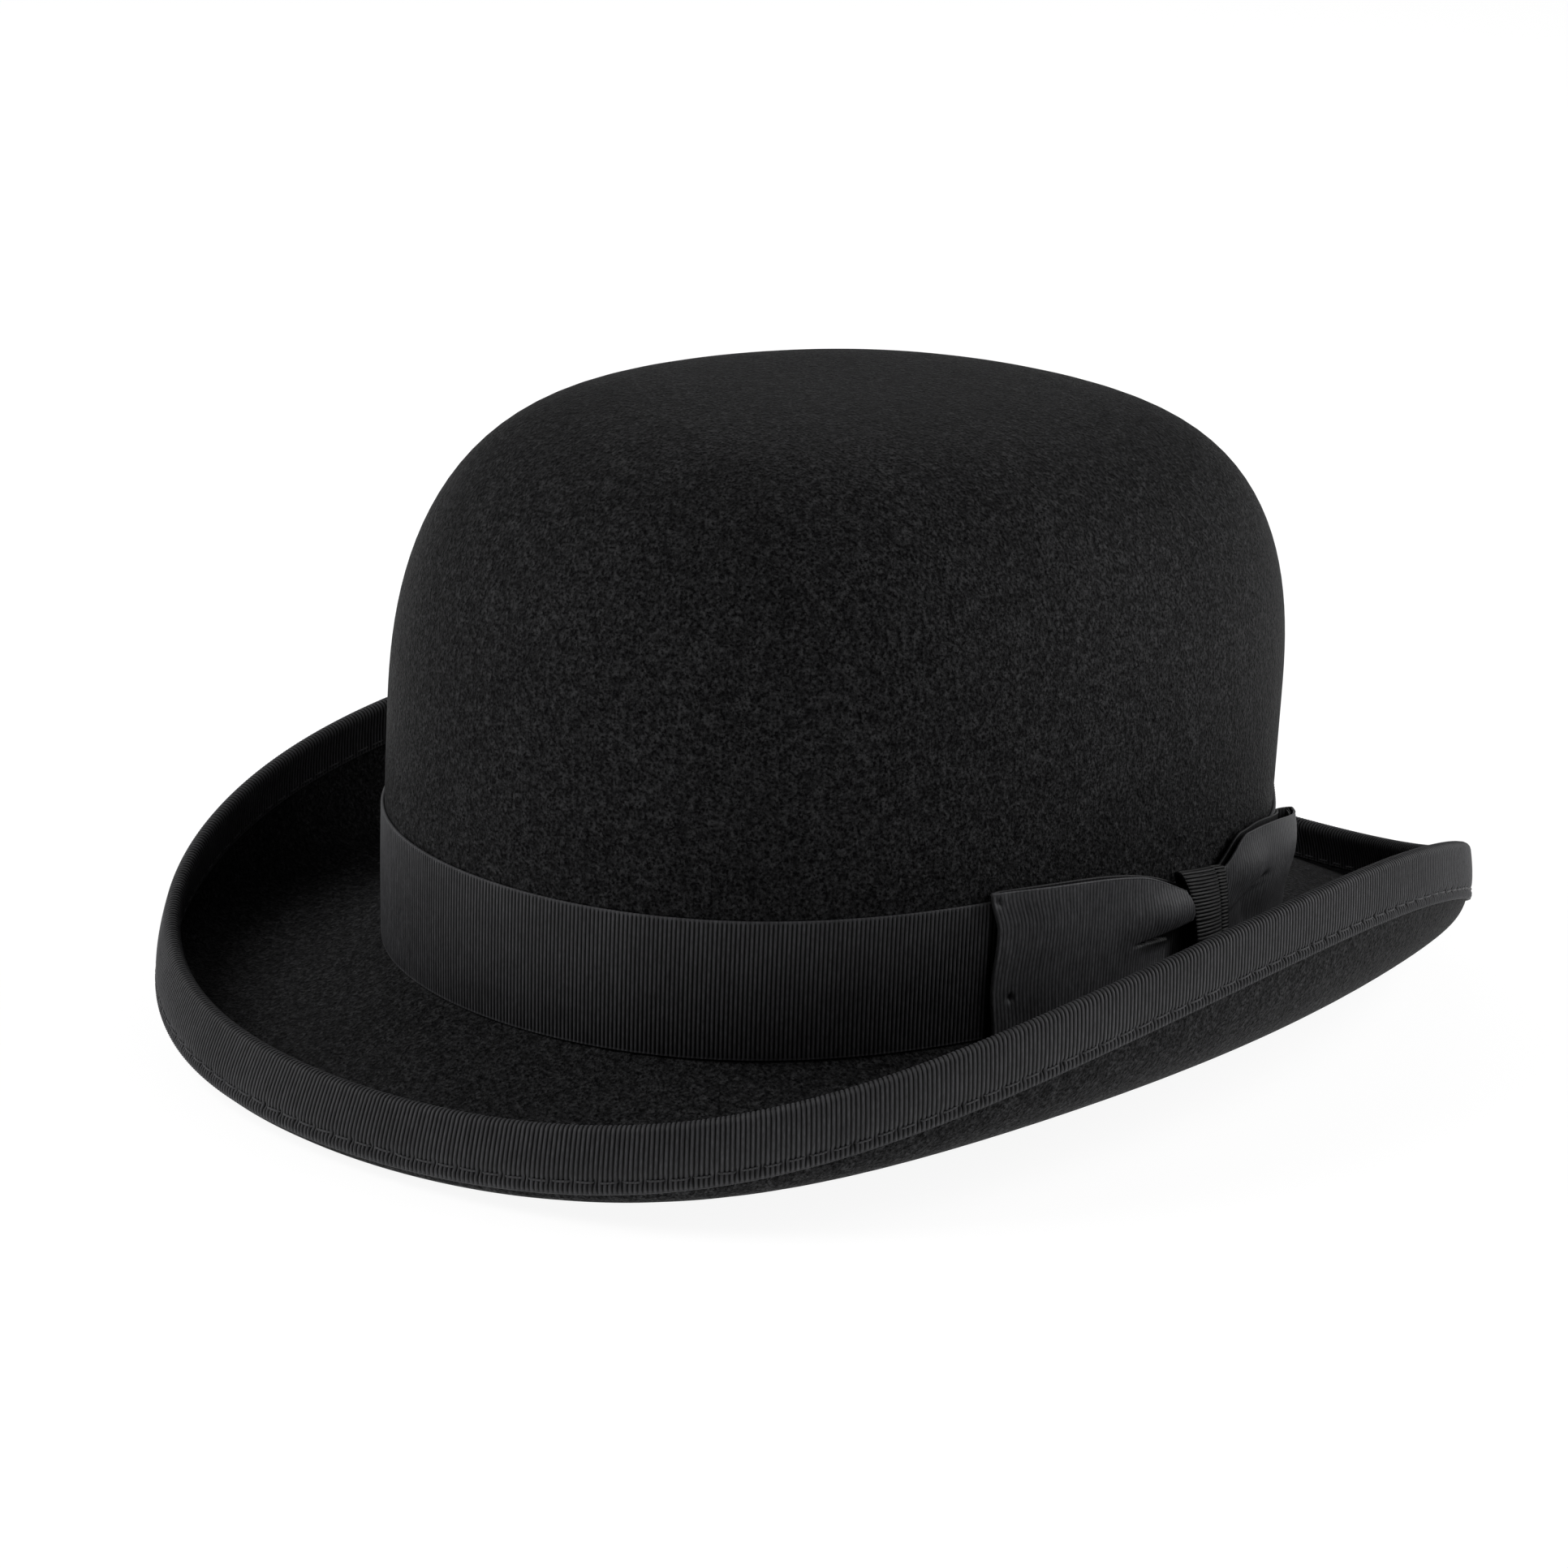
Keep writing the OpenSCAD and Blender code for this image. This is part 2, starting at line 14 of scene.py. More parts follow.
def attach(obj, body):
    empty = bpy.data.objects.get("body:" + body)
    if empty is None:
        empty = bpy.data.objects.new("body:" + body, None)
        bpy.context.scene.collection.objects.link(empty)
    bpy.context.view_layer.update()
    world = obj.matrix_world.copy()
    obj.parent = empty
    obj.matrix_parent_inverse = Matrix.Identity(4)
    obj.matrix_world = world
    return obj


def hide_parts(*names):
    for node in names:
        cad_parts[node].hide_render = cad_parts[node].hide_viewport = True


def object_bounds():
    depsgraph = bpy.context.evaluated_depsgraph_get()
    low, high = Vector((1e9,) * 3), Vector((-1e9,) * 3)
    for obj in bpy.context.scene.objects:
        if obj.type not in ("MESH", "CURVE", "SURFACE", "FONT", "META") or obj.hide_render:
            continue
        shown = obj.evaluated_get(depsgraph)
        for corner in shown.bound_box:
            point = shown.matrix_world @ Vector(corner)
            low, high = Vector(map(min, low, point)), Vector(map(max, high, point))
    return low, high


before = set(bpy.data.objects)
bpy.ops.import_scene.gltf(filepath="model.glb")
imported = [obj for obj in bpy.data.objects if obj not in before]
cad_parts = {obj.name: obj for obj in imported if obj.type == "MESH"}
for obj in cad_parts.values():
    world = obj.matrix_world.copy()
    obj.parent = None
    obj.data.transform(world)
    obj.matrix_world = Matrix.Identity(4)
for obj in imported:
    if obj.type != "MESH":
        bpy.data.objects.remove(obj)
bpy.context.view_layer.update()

# ---- The hat's sizes, the same as the frame's ----
CROWN_HALF_L = 0.1055
CROWN_HALF_W = 0.087
CROWN_H = 0.122
WALL_H = 0.053
DOME_FULLNESS = 4.1
DOME_FLATNESS = 2.45
WALL_BULGE = 0.007
CROWN_LEAN = 0.006
CROWN_FALL = 0.05
OVAL_SQUARENESS = 0.019
BASE_WAVE = 0.0011
FELT_T = 0.0024
RIM_HALF_W = 0.1285
RIM_HALF_L = 0.150
RIM_BACK = 0.0026
RIM_MEAN_Z = 0.0138
RIM_DIP = 0.018
RIM_FALL = 0.0016
RIM_OVAL_2 = 0.003
RIM_OVAL_3 = 0.0067
RIM_WAVE_3 = 0.003
RIM_WAVE_6 = 0.0006
ROOT_Z = -0.0002
STAND_H = 0.0175
CENTRE_Y = 0.0019
BAND_H = 0.030
BAND_Z = 0.0013
RIBBON_T = 0.00045
BINDING_W = 0.013
SIDE_R = 0.110
KEEPER_DEG = 103.5
KEEPER_W = 0.020
LEATHER_H = 0.055
LEATHER_T = 0.001
HALF_T = FELT_T / 2
SKIN_GAP = 0.00005
SKIN = HALF_T + SKIN_GAP + RIBBON_T / 2


# ---- Shapes of the crown ----

def oval(a):
    return (np.sin(a) + OVAL_SQUARENESS * np.sin(3 * a), -np.cos(a) + OVAL_SQUARENESS * np.cos(3 * a))


def base_z(a):
    return -BASE_WAVE * np.cos(2 * a)


def wall_r(z):
    return (1 - WALL_BULGE * np.maximum(1 - z / WALL_H, 0) ** 2) / (1 - WALL_BULGE)


def dome_z(rho, d):
    rise = np.maximum(1 - rho ** DOME_FULLNESS, 0) ** (1 / DOME_FLATNESS)
    return WALL_H + (CROWN_H - d - WALL_H) * rise


def placed(x, y, z):
    """Points of the hat, moved into the part's frame."""
    x, y, z = np.broadcast_arrays(x, y - CENTRE_Y, z + STAND_H)
    return np.stack([x, y, z], axis=-1)


def crown_pt(a, d, r, z):
    ox, oy = oval(a)
    up = (np.maximum(z, 0) / CROWN_H) ** 2
    y = (CROWN_HALF_L - d) * r * oy + CROWN_LEAN * up
    return placed((CROWN_HALF_W - d) * r * ox, y, z - CROWN_FALL * y * up)


def wall_pt(a, d, z):
    return crown_pt(a, d, wall_r(z), z)


def dome_pt(a, d, rho):
    return crown_pt(a, d, rho * wall_r(WALL_H), dome_z(rho, d))


def dome_shares(n):
    """Shares of the crown's width at n + 1 even steps from the wall to the top."""
    rho = 1 - np.linspace(0, 1, 4001) ** 4
    run = np.hypot(np.diff(rho) * CROWN_HALF_W, np.diff(dome_z(rho, 0)))
    along = np.concatenate([[0], np.cumsum(run)])
    return np.interp(np.linspace(0, along[-1], n + 1), along, rho)


# ---- Shapes of the brim ----

def rim_xyz(a):
    x = RIM_HALF_W * np.sin(a) + RIM_OVAL_2 * np.sin(2 * a) + RIM_OVAL_3 * np.sin(3 * a)
    z = RIM_MEAN_Z - RIM_FALL * np.cos(a) - RIM_DIP * np.cos(2 * a)
    z = z + RIM_WAVE_3 * np.cos(3 * a) + RIM_WAVE_6 * np.cos(6 * a)
    return x, -RIM_HALF_L * np.cos(a) + RIM_BACK, z


def root_xyz(a):
    ox, oy = oval(a)
    return CROWN_HALF_W * ox, CROWN_HALF_L * oy, base_z(a) + ROOT_Z


def brim_line(a, t):
    """The brim's middle line at angle a, from 0 at the root to 1 at the rim: outwards, up."""
    rim, root = rim_xyz(a), root_xyz(a)
    begin = np.radians(-16.6 + 4 * np.cos(2 * a) - 8 * np.cos(a))
    end = np.radians(104 + 10 * np.cos(2 * a) + 3.5 * np.cos(a))
    begin_pull = 0.1195 + 0.005 * np.cos(2 * a)
    end_pull = 0.071 + 0.0092 * np.cos(2 * a)
    b = (t ** 3 - 2 * t ** 2 + t) * begin_pull
    m = 3 * t ** 2 - 2 * t ** 3
    e = (t ** 3 - t ** 2) * end_pull
    reach = np.hypot(rim[0] - root[0], rim[1] - root[1])
    out = b * np.cos(begin) + m * reach + e * np.cos(end)
    up = b * np.sin(begin) + m * (rim[2] - root[2]) + e * np.sin(end)
    return out, up


def brim_place(a, s):
    """Places on the brim's line at lengths s back from the rim, for a column of angles a."""
    t = np.linspace(1, 0, 121)
    out, up = brim_line(a, t[None, :])
    run = np.hypot(np.diff(out, axis=1), np.diff(up, axis=1))
    along = np.concatenate([np.zeros((len(out), 1)), np.cumsum(run, axis=1)], axis=1)
    s = np.broadcast_to(s, (len(out), np.shape(s)[-1]))
    return np.stack([np.interp(si, li, t) for si, li in zip(s, along)])


def brim_length(a):
    out, up = brim_line(a, np.linspace(1, 0, 121)[None, :])
    return np.hypot(np.diff(out, axis=1), np.diff(up, axis=1)).sum(axis=1, keepdims=True)


def brim_pt(a, s, u, n):
    """Points of the brim: s back from the rim, u along its line, n across it towards the crown."""
    a = np.asarray(a, float).reshape(-1, 1)
    t = brim_place(a, s)
    step = 0.01
    o1, u1 = brim_line(a, t + step)
    o0, u0 = brim_line(a, t - step)
    size = np.hypot(o1 - o0, u1 - u0)
    dx, dz = (o1 - o0) / size, (u1 - u0) / size
    out, up = brim_line(a, t)
    out, up = out + u * dx - n * dz, up + u * dz + n * dx
    rim, root = rim_xyz(a), root_xyz(a)
    reach = np.hypot(rim[0] - root[0], rim[1] - root[1])
    x = root[0] + out * (rim[0] - root[0]) / reach
    y = root[1] + out * (rim[1] - root[1]) / reach
    return placed(x, y, root[2] + up)


# ---- Meshes ----

def ease(t):
    c = np.clip(t, 0, 1)
    return c * c * (3 - 2 * c)


def ring_angles(n):
    return np.arange(n) * 2 * np.pi / n


def grid_quads(n, m, close_rows, close_cols):
    i = np.arange(n if close_rows else n - 1)[:, None]
    j = np.arange(m if close_cols else m - 1)[None, :]
    i1, j1 = (i + 1) % n, (j + 1) % m
    return np.stack([i * m + j, i1 * m + j, i1 * m + j1, i * m + j1], axis=-1).reshape(-1, 4)


def add_mesh(name, points, faces, material, nodes, cloth=None):
    """A piece made of points and faces, which stands for the given CAD nodes."""
    mesh = bpy.data.meshes.new(name)
    mesh.from_pydata(points.tolist(), [], faces)
    if cloth is not None:
        layer = mesh.attributes.new("cloth", "FLOAT_VECTOR", "POINT")
        layer.data.foreach_set("vector", np.asarray(cloth, np.float32).ravel())
    mesh.validate()
    mesh.shade_smooth()
    mesh.materials.append(material)
    piece = bpy.data.objects.new(name, mesh)
    bpy.context.scene.collection.objects.link(piece)
    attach(piece, "root")
    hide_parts(*nodes)
    return piece


def closed_faces(grid, close_rows):
    """Faces of a loft whose sections are closed outlines, with flat ends unless it is a ring."""
    n, m = grid.shape[:2]
    faces = grid_quads(n, m, close_rows, True).tolist()
    if not close_rows:
        faces += [list(range(m)), [(n - 1) * m + j for j in range(m - 1, -1, -1)]]
    return faces


def add_loft(name, grid, close_rows, material, nodes, cloth=None):
    """A piece lofted through the closed outlines in the rows of a grid."""
    if cloth is not None:
        cloth = cloth.reshape(-1, 3)
    return add_mesh(name, grid.reshape(-1, 3), closed_faces(grid, close_rows), material, nodes, cloth)


def pole_faces(n, m):
    """Faces of a shell whose sections run from one pole to another; the poles are the last points."""
    faces = grid_quads(n, m, True, False).tolist()
    for i in range(n):
        i1 = (i + 1) % n
        faces.append([n * m, i1 * m, i * m])
        faces.append([i * m + m - 1, i1 * m + m - 1, n * m + 1])
    return faces


def unit(v):
    return v / np.maximum(np.linalg.norm(v, axis=-1, keepdims=True), 1e-12)


def normals_of(grid, close_rows):
    if close_rows:
        along = np.roll(grid, -1, axis=0) - np.roll(grid, 1, axis=0)
    else:
        along = np.gradient(grid, axis=0)
    return unit(np.cross(np.gradient(grid, axis=1), along))


def path_length(points, closed=False):
    if closed:
        points = np.concatenate([points, points[:1]])
    run = np.linalg.norm(np.diff(points, axis=0), axis=1)
    return np.concatenate([[0], np.cumsum(run)])


# ---- Ribbons ----

RIB = 0.00095
BAND_RIB_H = 0.00028
BOW_RIB_H = 0.00007
KEEPER_RIB_H = 0.00034
BINDING_RIB_H = 0.00027
RIB_STEPS = np.array([0, 0.14, 0.34, 0.5, 0.66, 0.86])
RIB_RISE = np.abs(np.sin(np.pi * RIB_STEPS)) ** 0.8
SELVEDGE = 0.00045
SELVEDGE_PLACES = SELVEDGE * np.array([0, 0.08, 0.3, 0.65, 1.0, 1.35, 1.9])


def rib_stations(length, pitch=RIB):
    """Lengths along a ribbon that follow its ribs, and the rise of the rib at each, from 0 to 1."""
    count = int(round(length / pitch))
    along = (np.arange(count)[:, None] + RIB_STEPS[None, :]).ravel() * length / count
    return along, np.tile(RIB_RISE, count)


def across_stations(width, step=0.002):
    """Places across a ribbon's width, close together at its two selvedges."""
    edge = SELVEDGE_PLACES
    n = max(2, int(round((width - 2 * edge[-1]) / step)))
    middle = np.linspace(edge[-1], width - edge[-1], n + 1)[1:-1]
    return np.concatenate([edge, middle, width - edge[::-1]])


def ribbon_section(x, width):
    """Half thickness of a ribbon at places x across it, and how much of a rib shows there."""
    d = np.minimum(x, width - x)
    bead = SELVEDGE / 1.6
    round_edge = np.sqrt(np.maximum(bead ** 2 - (d - bead) ** 2, 0))
    flat = RIBBON_T * 0.36
    half = np.where(d < bead, round_edge, bead + (flat - bead) * ease((d - bead) / (SELVEDGE - bead)))
    beads = 0.6 * np.minimum(d / bead, 1)
    return half, beads + (1 - beads) * ease((d - SELVEDGE) / (SELVEDGE * 0.6))


def ribbon_grid(middle, width, x, rise, close_rows, height):
    """Closed sections of a ribbon round its middle surface: the outer face, then the inner."""
    normal = normals_of(middle, close_rows)
    half, show = ribbon_section(x, width)
    lift = half[None, :] + height * rise[:, None] * show[None, :]
    outer = middle + normal * lift[..., None]
    inner = (middle - normal * lift[..., None])[:, 1:-1][:, ::-1]
    return np.concatenate([outer, inner], axis=1)


def ribbon_cloth(along, x, rise, crease=0.0):
    """Real-scale places on the ribbon for its material: along, across, and the rib's height.

    The height sets the painted shade in the grooves, and falls below 0 where painted crease shade darkens
    the ribbon further.
    """
    cols = np.concatenate([x, x[1:-1][::-1]])
    bead = 0.65 * (1 - ease((np.minimum(cols, x[-1] - cols) - SELVEDGE) / (SELVEDGE * 0.6)))
    light = rise[:, None] + (1 - rise[:, None]) * bead[None, :]
    return np.stack(np.broadcast_arrays(along[:, None], cols[None, :], light - crease), axis=-1)


# ---- Threads ----

def tube(points, radius, sides=6):
    """Sections of a thread along a line, tapered at its two ends."""
    n = len(points)
    along = unit(np.gradient(points, axis=0))
    ref = np.array([0.0, 0.0, 1.0]) if abs(along[0, 2]) < 0.9 else np.array([1.0, 0.0, 0.0])
    x = unit(np.cross(along, ref))
    y = np.cross(along, x)
    b = ring_angles(sides)
    r = radius * np.sqrt(np.clip(np.minimum(np.arange(n), n - 1 - np.arange(n)), 0.15, 1))
    ring = x[:, None] * np.cos(b)[None, :, None] + y[:, None] * np.sin(b)[None, :, None]
    return points[:, None] + ring * r[:, None, None]


def add_threads(name, lines, radius, material, nodes, sides=6):
    """One piece made of many short threads, each along its own line."""
    points, faces, cloth, base = [], [], [], 0
    for line in lines:
        grid = tube(line, radius, sides)
        n, m = grid.shape[:2]
        quads = grid_quads(n, m, False, True) + base
        faces += quads[:, ::-1].tolist()
        last = base + (n - 1) * m
        faces += [list(range(base, base + m)), list(range(last, last + m))[::-1]]
        points.append(grid.reshape(-1, 3))
        along = path_length(line)
        cloth.append(np.stack(np.broadcast_arrays(
            along[:, None], np.arange(m)[None, :] / m, np.zeros((1, 1))), axis=-1).reshape(-1, 3))
        base += n * m
    return add_mesh(name, np.concatenate(points), faces, material, nodes, np.concatenate(cloth))


# ---- Materials ----

class Shader:
    """A node material with one principled shader, and short calls for the nodes that feed it."""

    def __init__(self, name, colour, roughness, **values):
        self.material = bpy.data.materials.new(name)
        self.material.use_nodes = True
        self.tree = self.material.node_tree
        self.bsdf = next(n for n in self.tree.nodes if n.type == "BSDF_PRINCIPLED")
        self.set(self.bsdf, "Base Color", (*colour, 1))
        self.set(self.bsdf, "Roughness", roughness)
        for key, value in values.items():
            self.set(self.bsdf, key.replace("_", " "), value)
        self.material.diffuse_color = (*colour, 1)

    def set(self, node, socket, value):
        node.inputs[socket].default_value = value

    def link(self, out, node, socket):
        self.tree.links.new(out, node.inputs[socket])

    def node(self, kind, **inputs):
        node = self.tree.nodes.new(kind)
        for key, value in inputs.items():
            if isinstance(value, bpy.types.NodeSocket):
                self.link(value, node, key.replace("_", " "))
            else:
                self.set(node, key.replace("_", " "), value)
        return node

    def place(self):
        return self.node("ShaderNodeTexCoord").outputs["Object"]

    def cloth(self):
        node = self.tree.nodes.new("ShaderNodeAttribute")
        node.attribute_name = "cloth"
        return node.outputs["Vector"]

    def scaled(self, vector, scale):
        node = self.tree.nodes.new("ShaderNodeMapping")
        self.link(vector, node, "Vector")
        self.set(node, "Scale", scale)
        return node.outputs["Vector"]

    def noise(self, vector, scale, detail=2.0, rough=0.5):
        return self.node("ShaderNodeTexNoise", Vector=vector, Scale=scale, Detail=detail,
                         Roughness=rough).outputs["Fac"]

    def ramp(self, value, low, high, to_low=0.0, to_high=1.0):
        node = self.tree.nodes.new("ShaderNodeMapRange")
        self.link(value, node, "Value")
        for key, number in (("From Min", low), ("From Max", high), ("To Min", to_low), ("To Max", to_high)):
            self.set(node, key, number)
        return node.outputs["Result"]

    def math(self, kind, a, b):
        node = self.tree.nodes.new("ShaderNodeMath")
        node.operation = kind
        for i, value in enumerate((a, b)):
            if isinstance(value, bpy.types.NodeSocket):
                self.tree.links.new(value, node.inputs[i])
            else:
                node.inputs[i].default_value = value
        return node.outputs[0]

    def mix(self, share, low, high):
        node = self.tree.nodes.new("ShaderNodeMix")
        node.data_type = "RGBA"
        self.tree.links.new(share, node.inputs[0])
        for socket, colour in ((6, low), (7, high)):
            if isinstance(colour, bpy.types.NodeSocket):
                self.tree.links.new(colour, node.inputs[socket])
            else:
                node.inputs[socket].default_value = (*colour, 1)
        return node.outputs[2]

    def bump(self, height, distance, strength=1.0, below=None):
        node = self.tree.nodes.new("ShaderNodeBump")
        self.link(height, node, "Height")
        self.set(node, "Distance", distance)
        self.set(node, "Strength", strength)
        if below is not None:
            self.link(below, node, "Normal")
        return node.outputs["Normal"]

    def colour(self, out):
        self.link(out, self.bsdf, "Base Color")

    def rough(self, out):
        self.link(out, self.bsdf, "Roughness")

    def normal(self, out):
        self.link(out, self.bsdf, "Normal")


def felt_material():
    """Fur felt: short matted hair, with a fine nap that catches light in specks about 1 mm apart."""
    s = Shader("fur_felt", (0.016, 0.016, 0.0165), 0.6, Specular_IOR_Level=0.025)
    place = s.place()
    fine = s.noise(place, 1500, 3, 0.65)
    tuft = s.noise(place, 760, 2, 0.6)
    broad = s.noise(place, 26, 3, 0.5)
    speck = s.math("MULTIPLY", s.ramp(fine, 0.36, 0.64), s.ramp(tuft, 0.34, 0.66, 0.35, 1))
    clump = s.noise(place, 380, 2, 0.5)
    tone = s.math("MULTIPLY", speck, s.ramp(broad, 0.3, 0.7, 0.88, 1.1))
    tone = s.math("MULTIPLY", tone, s.ramp(clump, 0.3, 0.7, 0.72, 1.26))
    s.colour(s.mix(tone, (0.0014, 0.0014, 0.0016), (0.043, 0.043, 0.0445)))
    s.rough(s.ramp(tuft, 0.3, 0.7, 0.5, 0.68))
    s.normal(s.bump(fine, 0.0004, 0.85, s.bump(tuft, 0.0008, 0.8)))
    return s.material


def ribbon_material(name, low, high, groove_shade):
    """Grosgrain: fine silk-like threads that lie along each rib, with painted shade in the grooves."""
    s = Shader(name, (high, high, high), 0.5, Specular_IOR_Level=0.14)
    cloth = s.cloth()
    warp = s.noise(s.scaled(cloth, (3600, 900, 1)), 1.0, 2, 0.5)
    yarn = s.noise(s.scaled(cloth, (1050, 260, 1)), 1.0, 2, 0.55)
    wear = s.noise(s.place(), 55, 3, 0.55)
    rib = s.node("ShaderNodeSeparateXYZ", Vector=cloth).outputs["Z"]
    tone = s.math("MULTIPLY", s.ramp(warp, 0.25, 0.75, 0.55, 1), s.ramp(yarn, 0.25, 0.75, 0.6, 1.05))
    tone = s.math("MULTIPLY", tone, s.ramp(wear, 0.3, 0.7, 0.85, 1.1))
    # Painted shade: the colour darkens in the grooves between ribs, and darkens further where painted
    # crease shade pushes the cloth attribute's height below 0
    tone = s.math("MULTIPLY", tone, s.ramp(rib, 0.35, 0.97, groove_shade, 1))
    tone = s.math("MULTIPLY", tone, s.ramp(rib, -1, 0, 0, 1))
    s.colour(s.mix(tone, (low, low, 1.05 * low), (high, high, 1.06 * high)))
    s.rough(s.ramp(yarn, 0.3, 0.7, 0.44, 0.6))
    s.normal(s.bump(warp, 0.00006, 0.7, s.bump(yarn, 0.0001, 0.6)))
    return s.material


def thread_material():
    """Twisted black thread."""
    s = Shader("sewing_thread", (0.06, 0.06, 0.063), 0.5, Specular_IOR_Level=0.2)
    cloth = s.cloth()
    twist = s.node("ShaderNodeTexWave", Vector=s.scaled(cloth, (1400, 1.6, 1)), Scale=1.0,
                   Distortion=0.6).outputs["Fac"]
    hair = s.noise(s.place(), 2600, 2, 0.6)
    s.colour(s.mix(s.math("MULTIPLY", twist, s.ramp(hair, 0.3, 0.7, 0.6, 1)),
                   (0.014, 0.014, 0.015), (0.11, 0.11, 0.115)))
    s.rough(s.ramp(hair, 0.3, 0.7, 0.36, 0.52))
    s.normal(s.bump(twist, 0.00008, 0.7))
    return s.material


def leather_material():
    """Thin smooth sweatband leather with a fine pebbled grain and slightly worn high spots."""
    s = Shader("sweatband_leather_skin", (0.03, 0.016, 0.009), 0.4, Specular_IOR_Level=0.5,
               Coat_Weight=0.12, Coat_Roughness=0.3)
    place = s.place()
    cell = s.node("ShaderNodeTexVoronoi", Vector=place, Scale=900.0).outputs["Distance"]
    crease = s.noise(s.scaled(place, (1, 1, 2.2)), 170, 4, 0.6)
    wear = s.noise(place, 22, 3, 0.5)
    tone = s.math("MULTIPLY", s.ramp(wear, 0.35, 0.7, 0.5, 1), s.ramp(cell, 0.0, 0.6, 1, 0.75))
    s.colour(s.mix(tone, (0.012, 0.0065, 0.004), (0.046, 0.024, 0.013)))
    s.rough(s.ramp(crease, 0.3, 0.7, 0.32, 0.5))
    s.normal(s.bump(cell, 0.00012, 0.35, s.bump(crease, 0.0003, 0.35)))
    return s.material


def satin_material():
    """Black lining satin: close fine threads with a soft stretched gloss."""
    s = Shader("lining_satin", (0.02, 0.02, 0.023), 0.3, Specular_IOR_Level=0.55, Anisotropic=0.5,
               Sheen_Weight=0.08, Sheen_Roughness=0.3)
    place = s.place()
    weave = s.noise(s.scaled(place, (1, 1, 5)), 900, 2, 0.5)
    cloud = s.noise(place, 30, 3, 0.5)
    s.colour(s.mix(s.math("MULTIPLY", s.ramp(weave, 0.3, 0.7, 0.7, 1), s.ramp(cloud, 0.3, 0.7, 0.8, 1.1)),
                   (0.01, 0.01, 0.011), (0.034, 0.034, 0.039)))
    s.rough(s.ramp(weave, 0.3, 0.7, 0.26, 0.38))
    s.normal(s.bump(weave, 0.00004, 0.5, s.bump(cloud, 0.0006, 0.3)))
    return s.material


def tape_material():
    """Woven cotton tape over the reed."""
    s = Shader("reed_tape_cotton", (0.02, 0.02, 0.02), 0.75, Specular_IOR_Level=0.3,
               Sheen_Weight=0.15, Sheen_Roughness=0.5)
    place = s.place()
    weave = s.noise(s.scaled(place, (1, 1, 2)), 1300, 2, 0.5)
    dirt = s.noise(place, 90, 3, 0.6)
    s.colour(s.mix(s.math("MULTIPLY", weave, s.ramp(dirt, 0.3, 0.7, 0.8, 1.2)),
                   (0.008, 0.008, 0.008), (0.04, 0.04, 0.04)))
    s.rough(s.ramp(weave, 0.3, 0.7, 0.7, 0.85))
    s.normal(s.bump(weave, 0.0001, 0.7))
    return s.material


def reed_material():
    """The reed: a drawn plastic cord with faint marks along it."""
    s = Shader("reed_plastic", (0.08, 0.08, 0.078), 0.42, Specular_IOR_Level=0.5)
    place = s.place()
    marks = s.noise(s.scaled(place, (1, 1, 6)), 260, 3, 0.5)
    s.colour(s.mix(marks, (0.05, 0.05, 0.048), (0.12, 0.12, 0.115)))
    s.rough(s.ramp(marks, 0.3, 0.7, 0.34, 0.5))
    s.normal(s.bump(marks, 0.00005, 0.4))
    return s.material


def paper_material():
    """Uncoated ticket paper with visible fibres."""
    s = Shader("ticket_card", (0.66, 0.62, 0.53), 0.85, Specular_IOR_Level=0.25)
    place = s.place()
    fibre = s.noise(s.scaled(place, (1, 1, 3)), 700, 4, 0.65)
    age = s.noise(place, 60, 3, 0.5)
    s.colour(s.mix(s.math("MULTIPLY", fibre, s.ramp(age, 0.3, 0.7, 0.8, 1.2)),
                   (0.5, 0.46, 0.38), (0.74, 0.71, 0.62)))
    s.rough(s.ramp(fibre, 0.3, 0.7, 0.78, 0.92))
    s.normal(s.bump(fibre, 0.00006, 0.5))
    return s.material


def clear_material():
    """Thin clear film with faint handling marks."""
    s = Shader("clear_film", (0.9, 0.92, 0.94), 0.12, Specular_IOR_Level=0.5, Transmission_Weight=1.0,
               IOR=1.45)
    place = s.place()
    haze = s.noise(place, 45, 4, 0.6)
    scratch = s.noise(s.scaled(place, (9, 1, 1)), 160, 3, 0.6)
    s.colour(s.mix(haze, (0.86, 0.88, 0.9), (0.95, 0.96, 0.97)))
    s.rough(s.ramp(scratch, 0.35, 0.7, 0.06, 0.2))
    s.normal(s.bump(haze, 0.0002, 0.3))
    return s.material


# ---- Felt ----

CROWN_STEPS = 480
OPENING_R = 0.002


def felt_grid(a):
    """The felt's sections: inside of the top, wall, opening, under the brim, rim, brim, wall, top."""
    col = a[:, None]
    top_share = dome_shares(40)[1:-1][None, :]
    low = base_z(col) + ROOT_Z - HALF_T
    bottom = low + OPENING_R
    up = np.linspace(0, 1, 13)[None, :]
    top = base_z(col) + ROOT_Z + HALF_T + 0.00015
    bend = np.radians(np.linspace(15, 90, 6))[None, :]
    length = brim_length(col)
    plate = BINDING_W + (length - 0.0004 - BINDING_W) * np.linspace(0, 1, 41)[None, 1:]
    edge = np.broadcast_to(np.linspace(BINDING_START, BINDING_W, 13)[None, :], (len(a), 13))
    cap = np.radians(np.linspace(-75, 75, 7))[None, :]
    inner_wall = wall_pt(col, FELT_T, bottom + (WALL_H - bottom) * up[:, ::-1])
    opening = wall_pt(col, FELT_T - OPENING_R * (1 - np.cos(bend)), bottom - OPENING_R * np.sin(bend))
    s_in = np.concatenate([plate[:, ::-1][:, 1:], edge[:, ::-1]], axis=1)
    s_out = np.concatenate([edge, plate[:, :-1]], axis=1)
    round_edge = brim_pt(a, np.full((len(a), 7), BINDING_START), HALF_T * np.cos(cap), HALF_T * np.sin(cap))
    return np.concatenate([
        dome_pt(col, FELT_T, top_share[:, ::-1]),
        inner_wall,
        opening,
        brim_pt(a, s_in, 0, -HALF_T),
        round_edge,
        brim_pt(a, s_out, 0, HALF_T),
        wall_pt(col, 0, top + (WALL_H - top) * up),
        dome_pt(col, 0, top_share),
    ], axis=1)


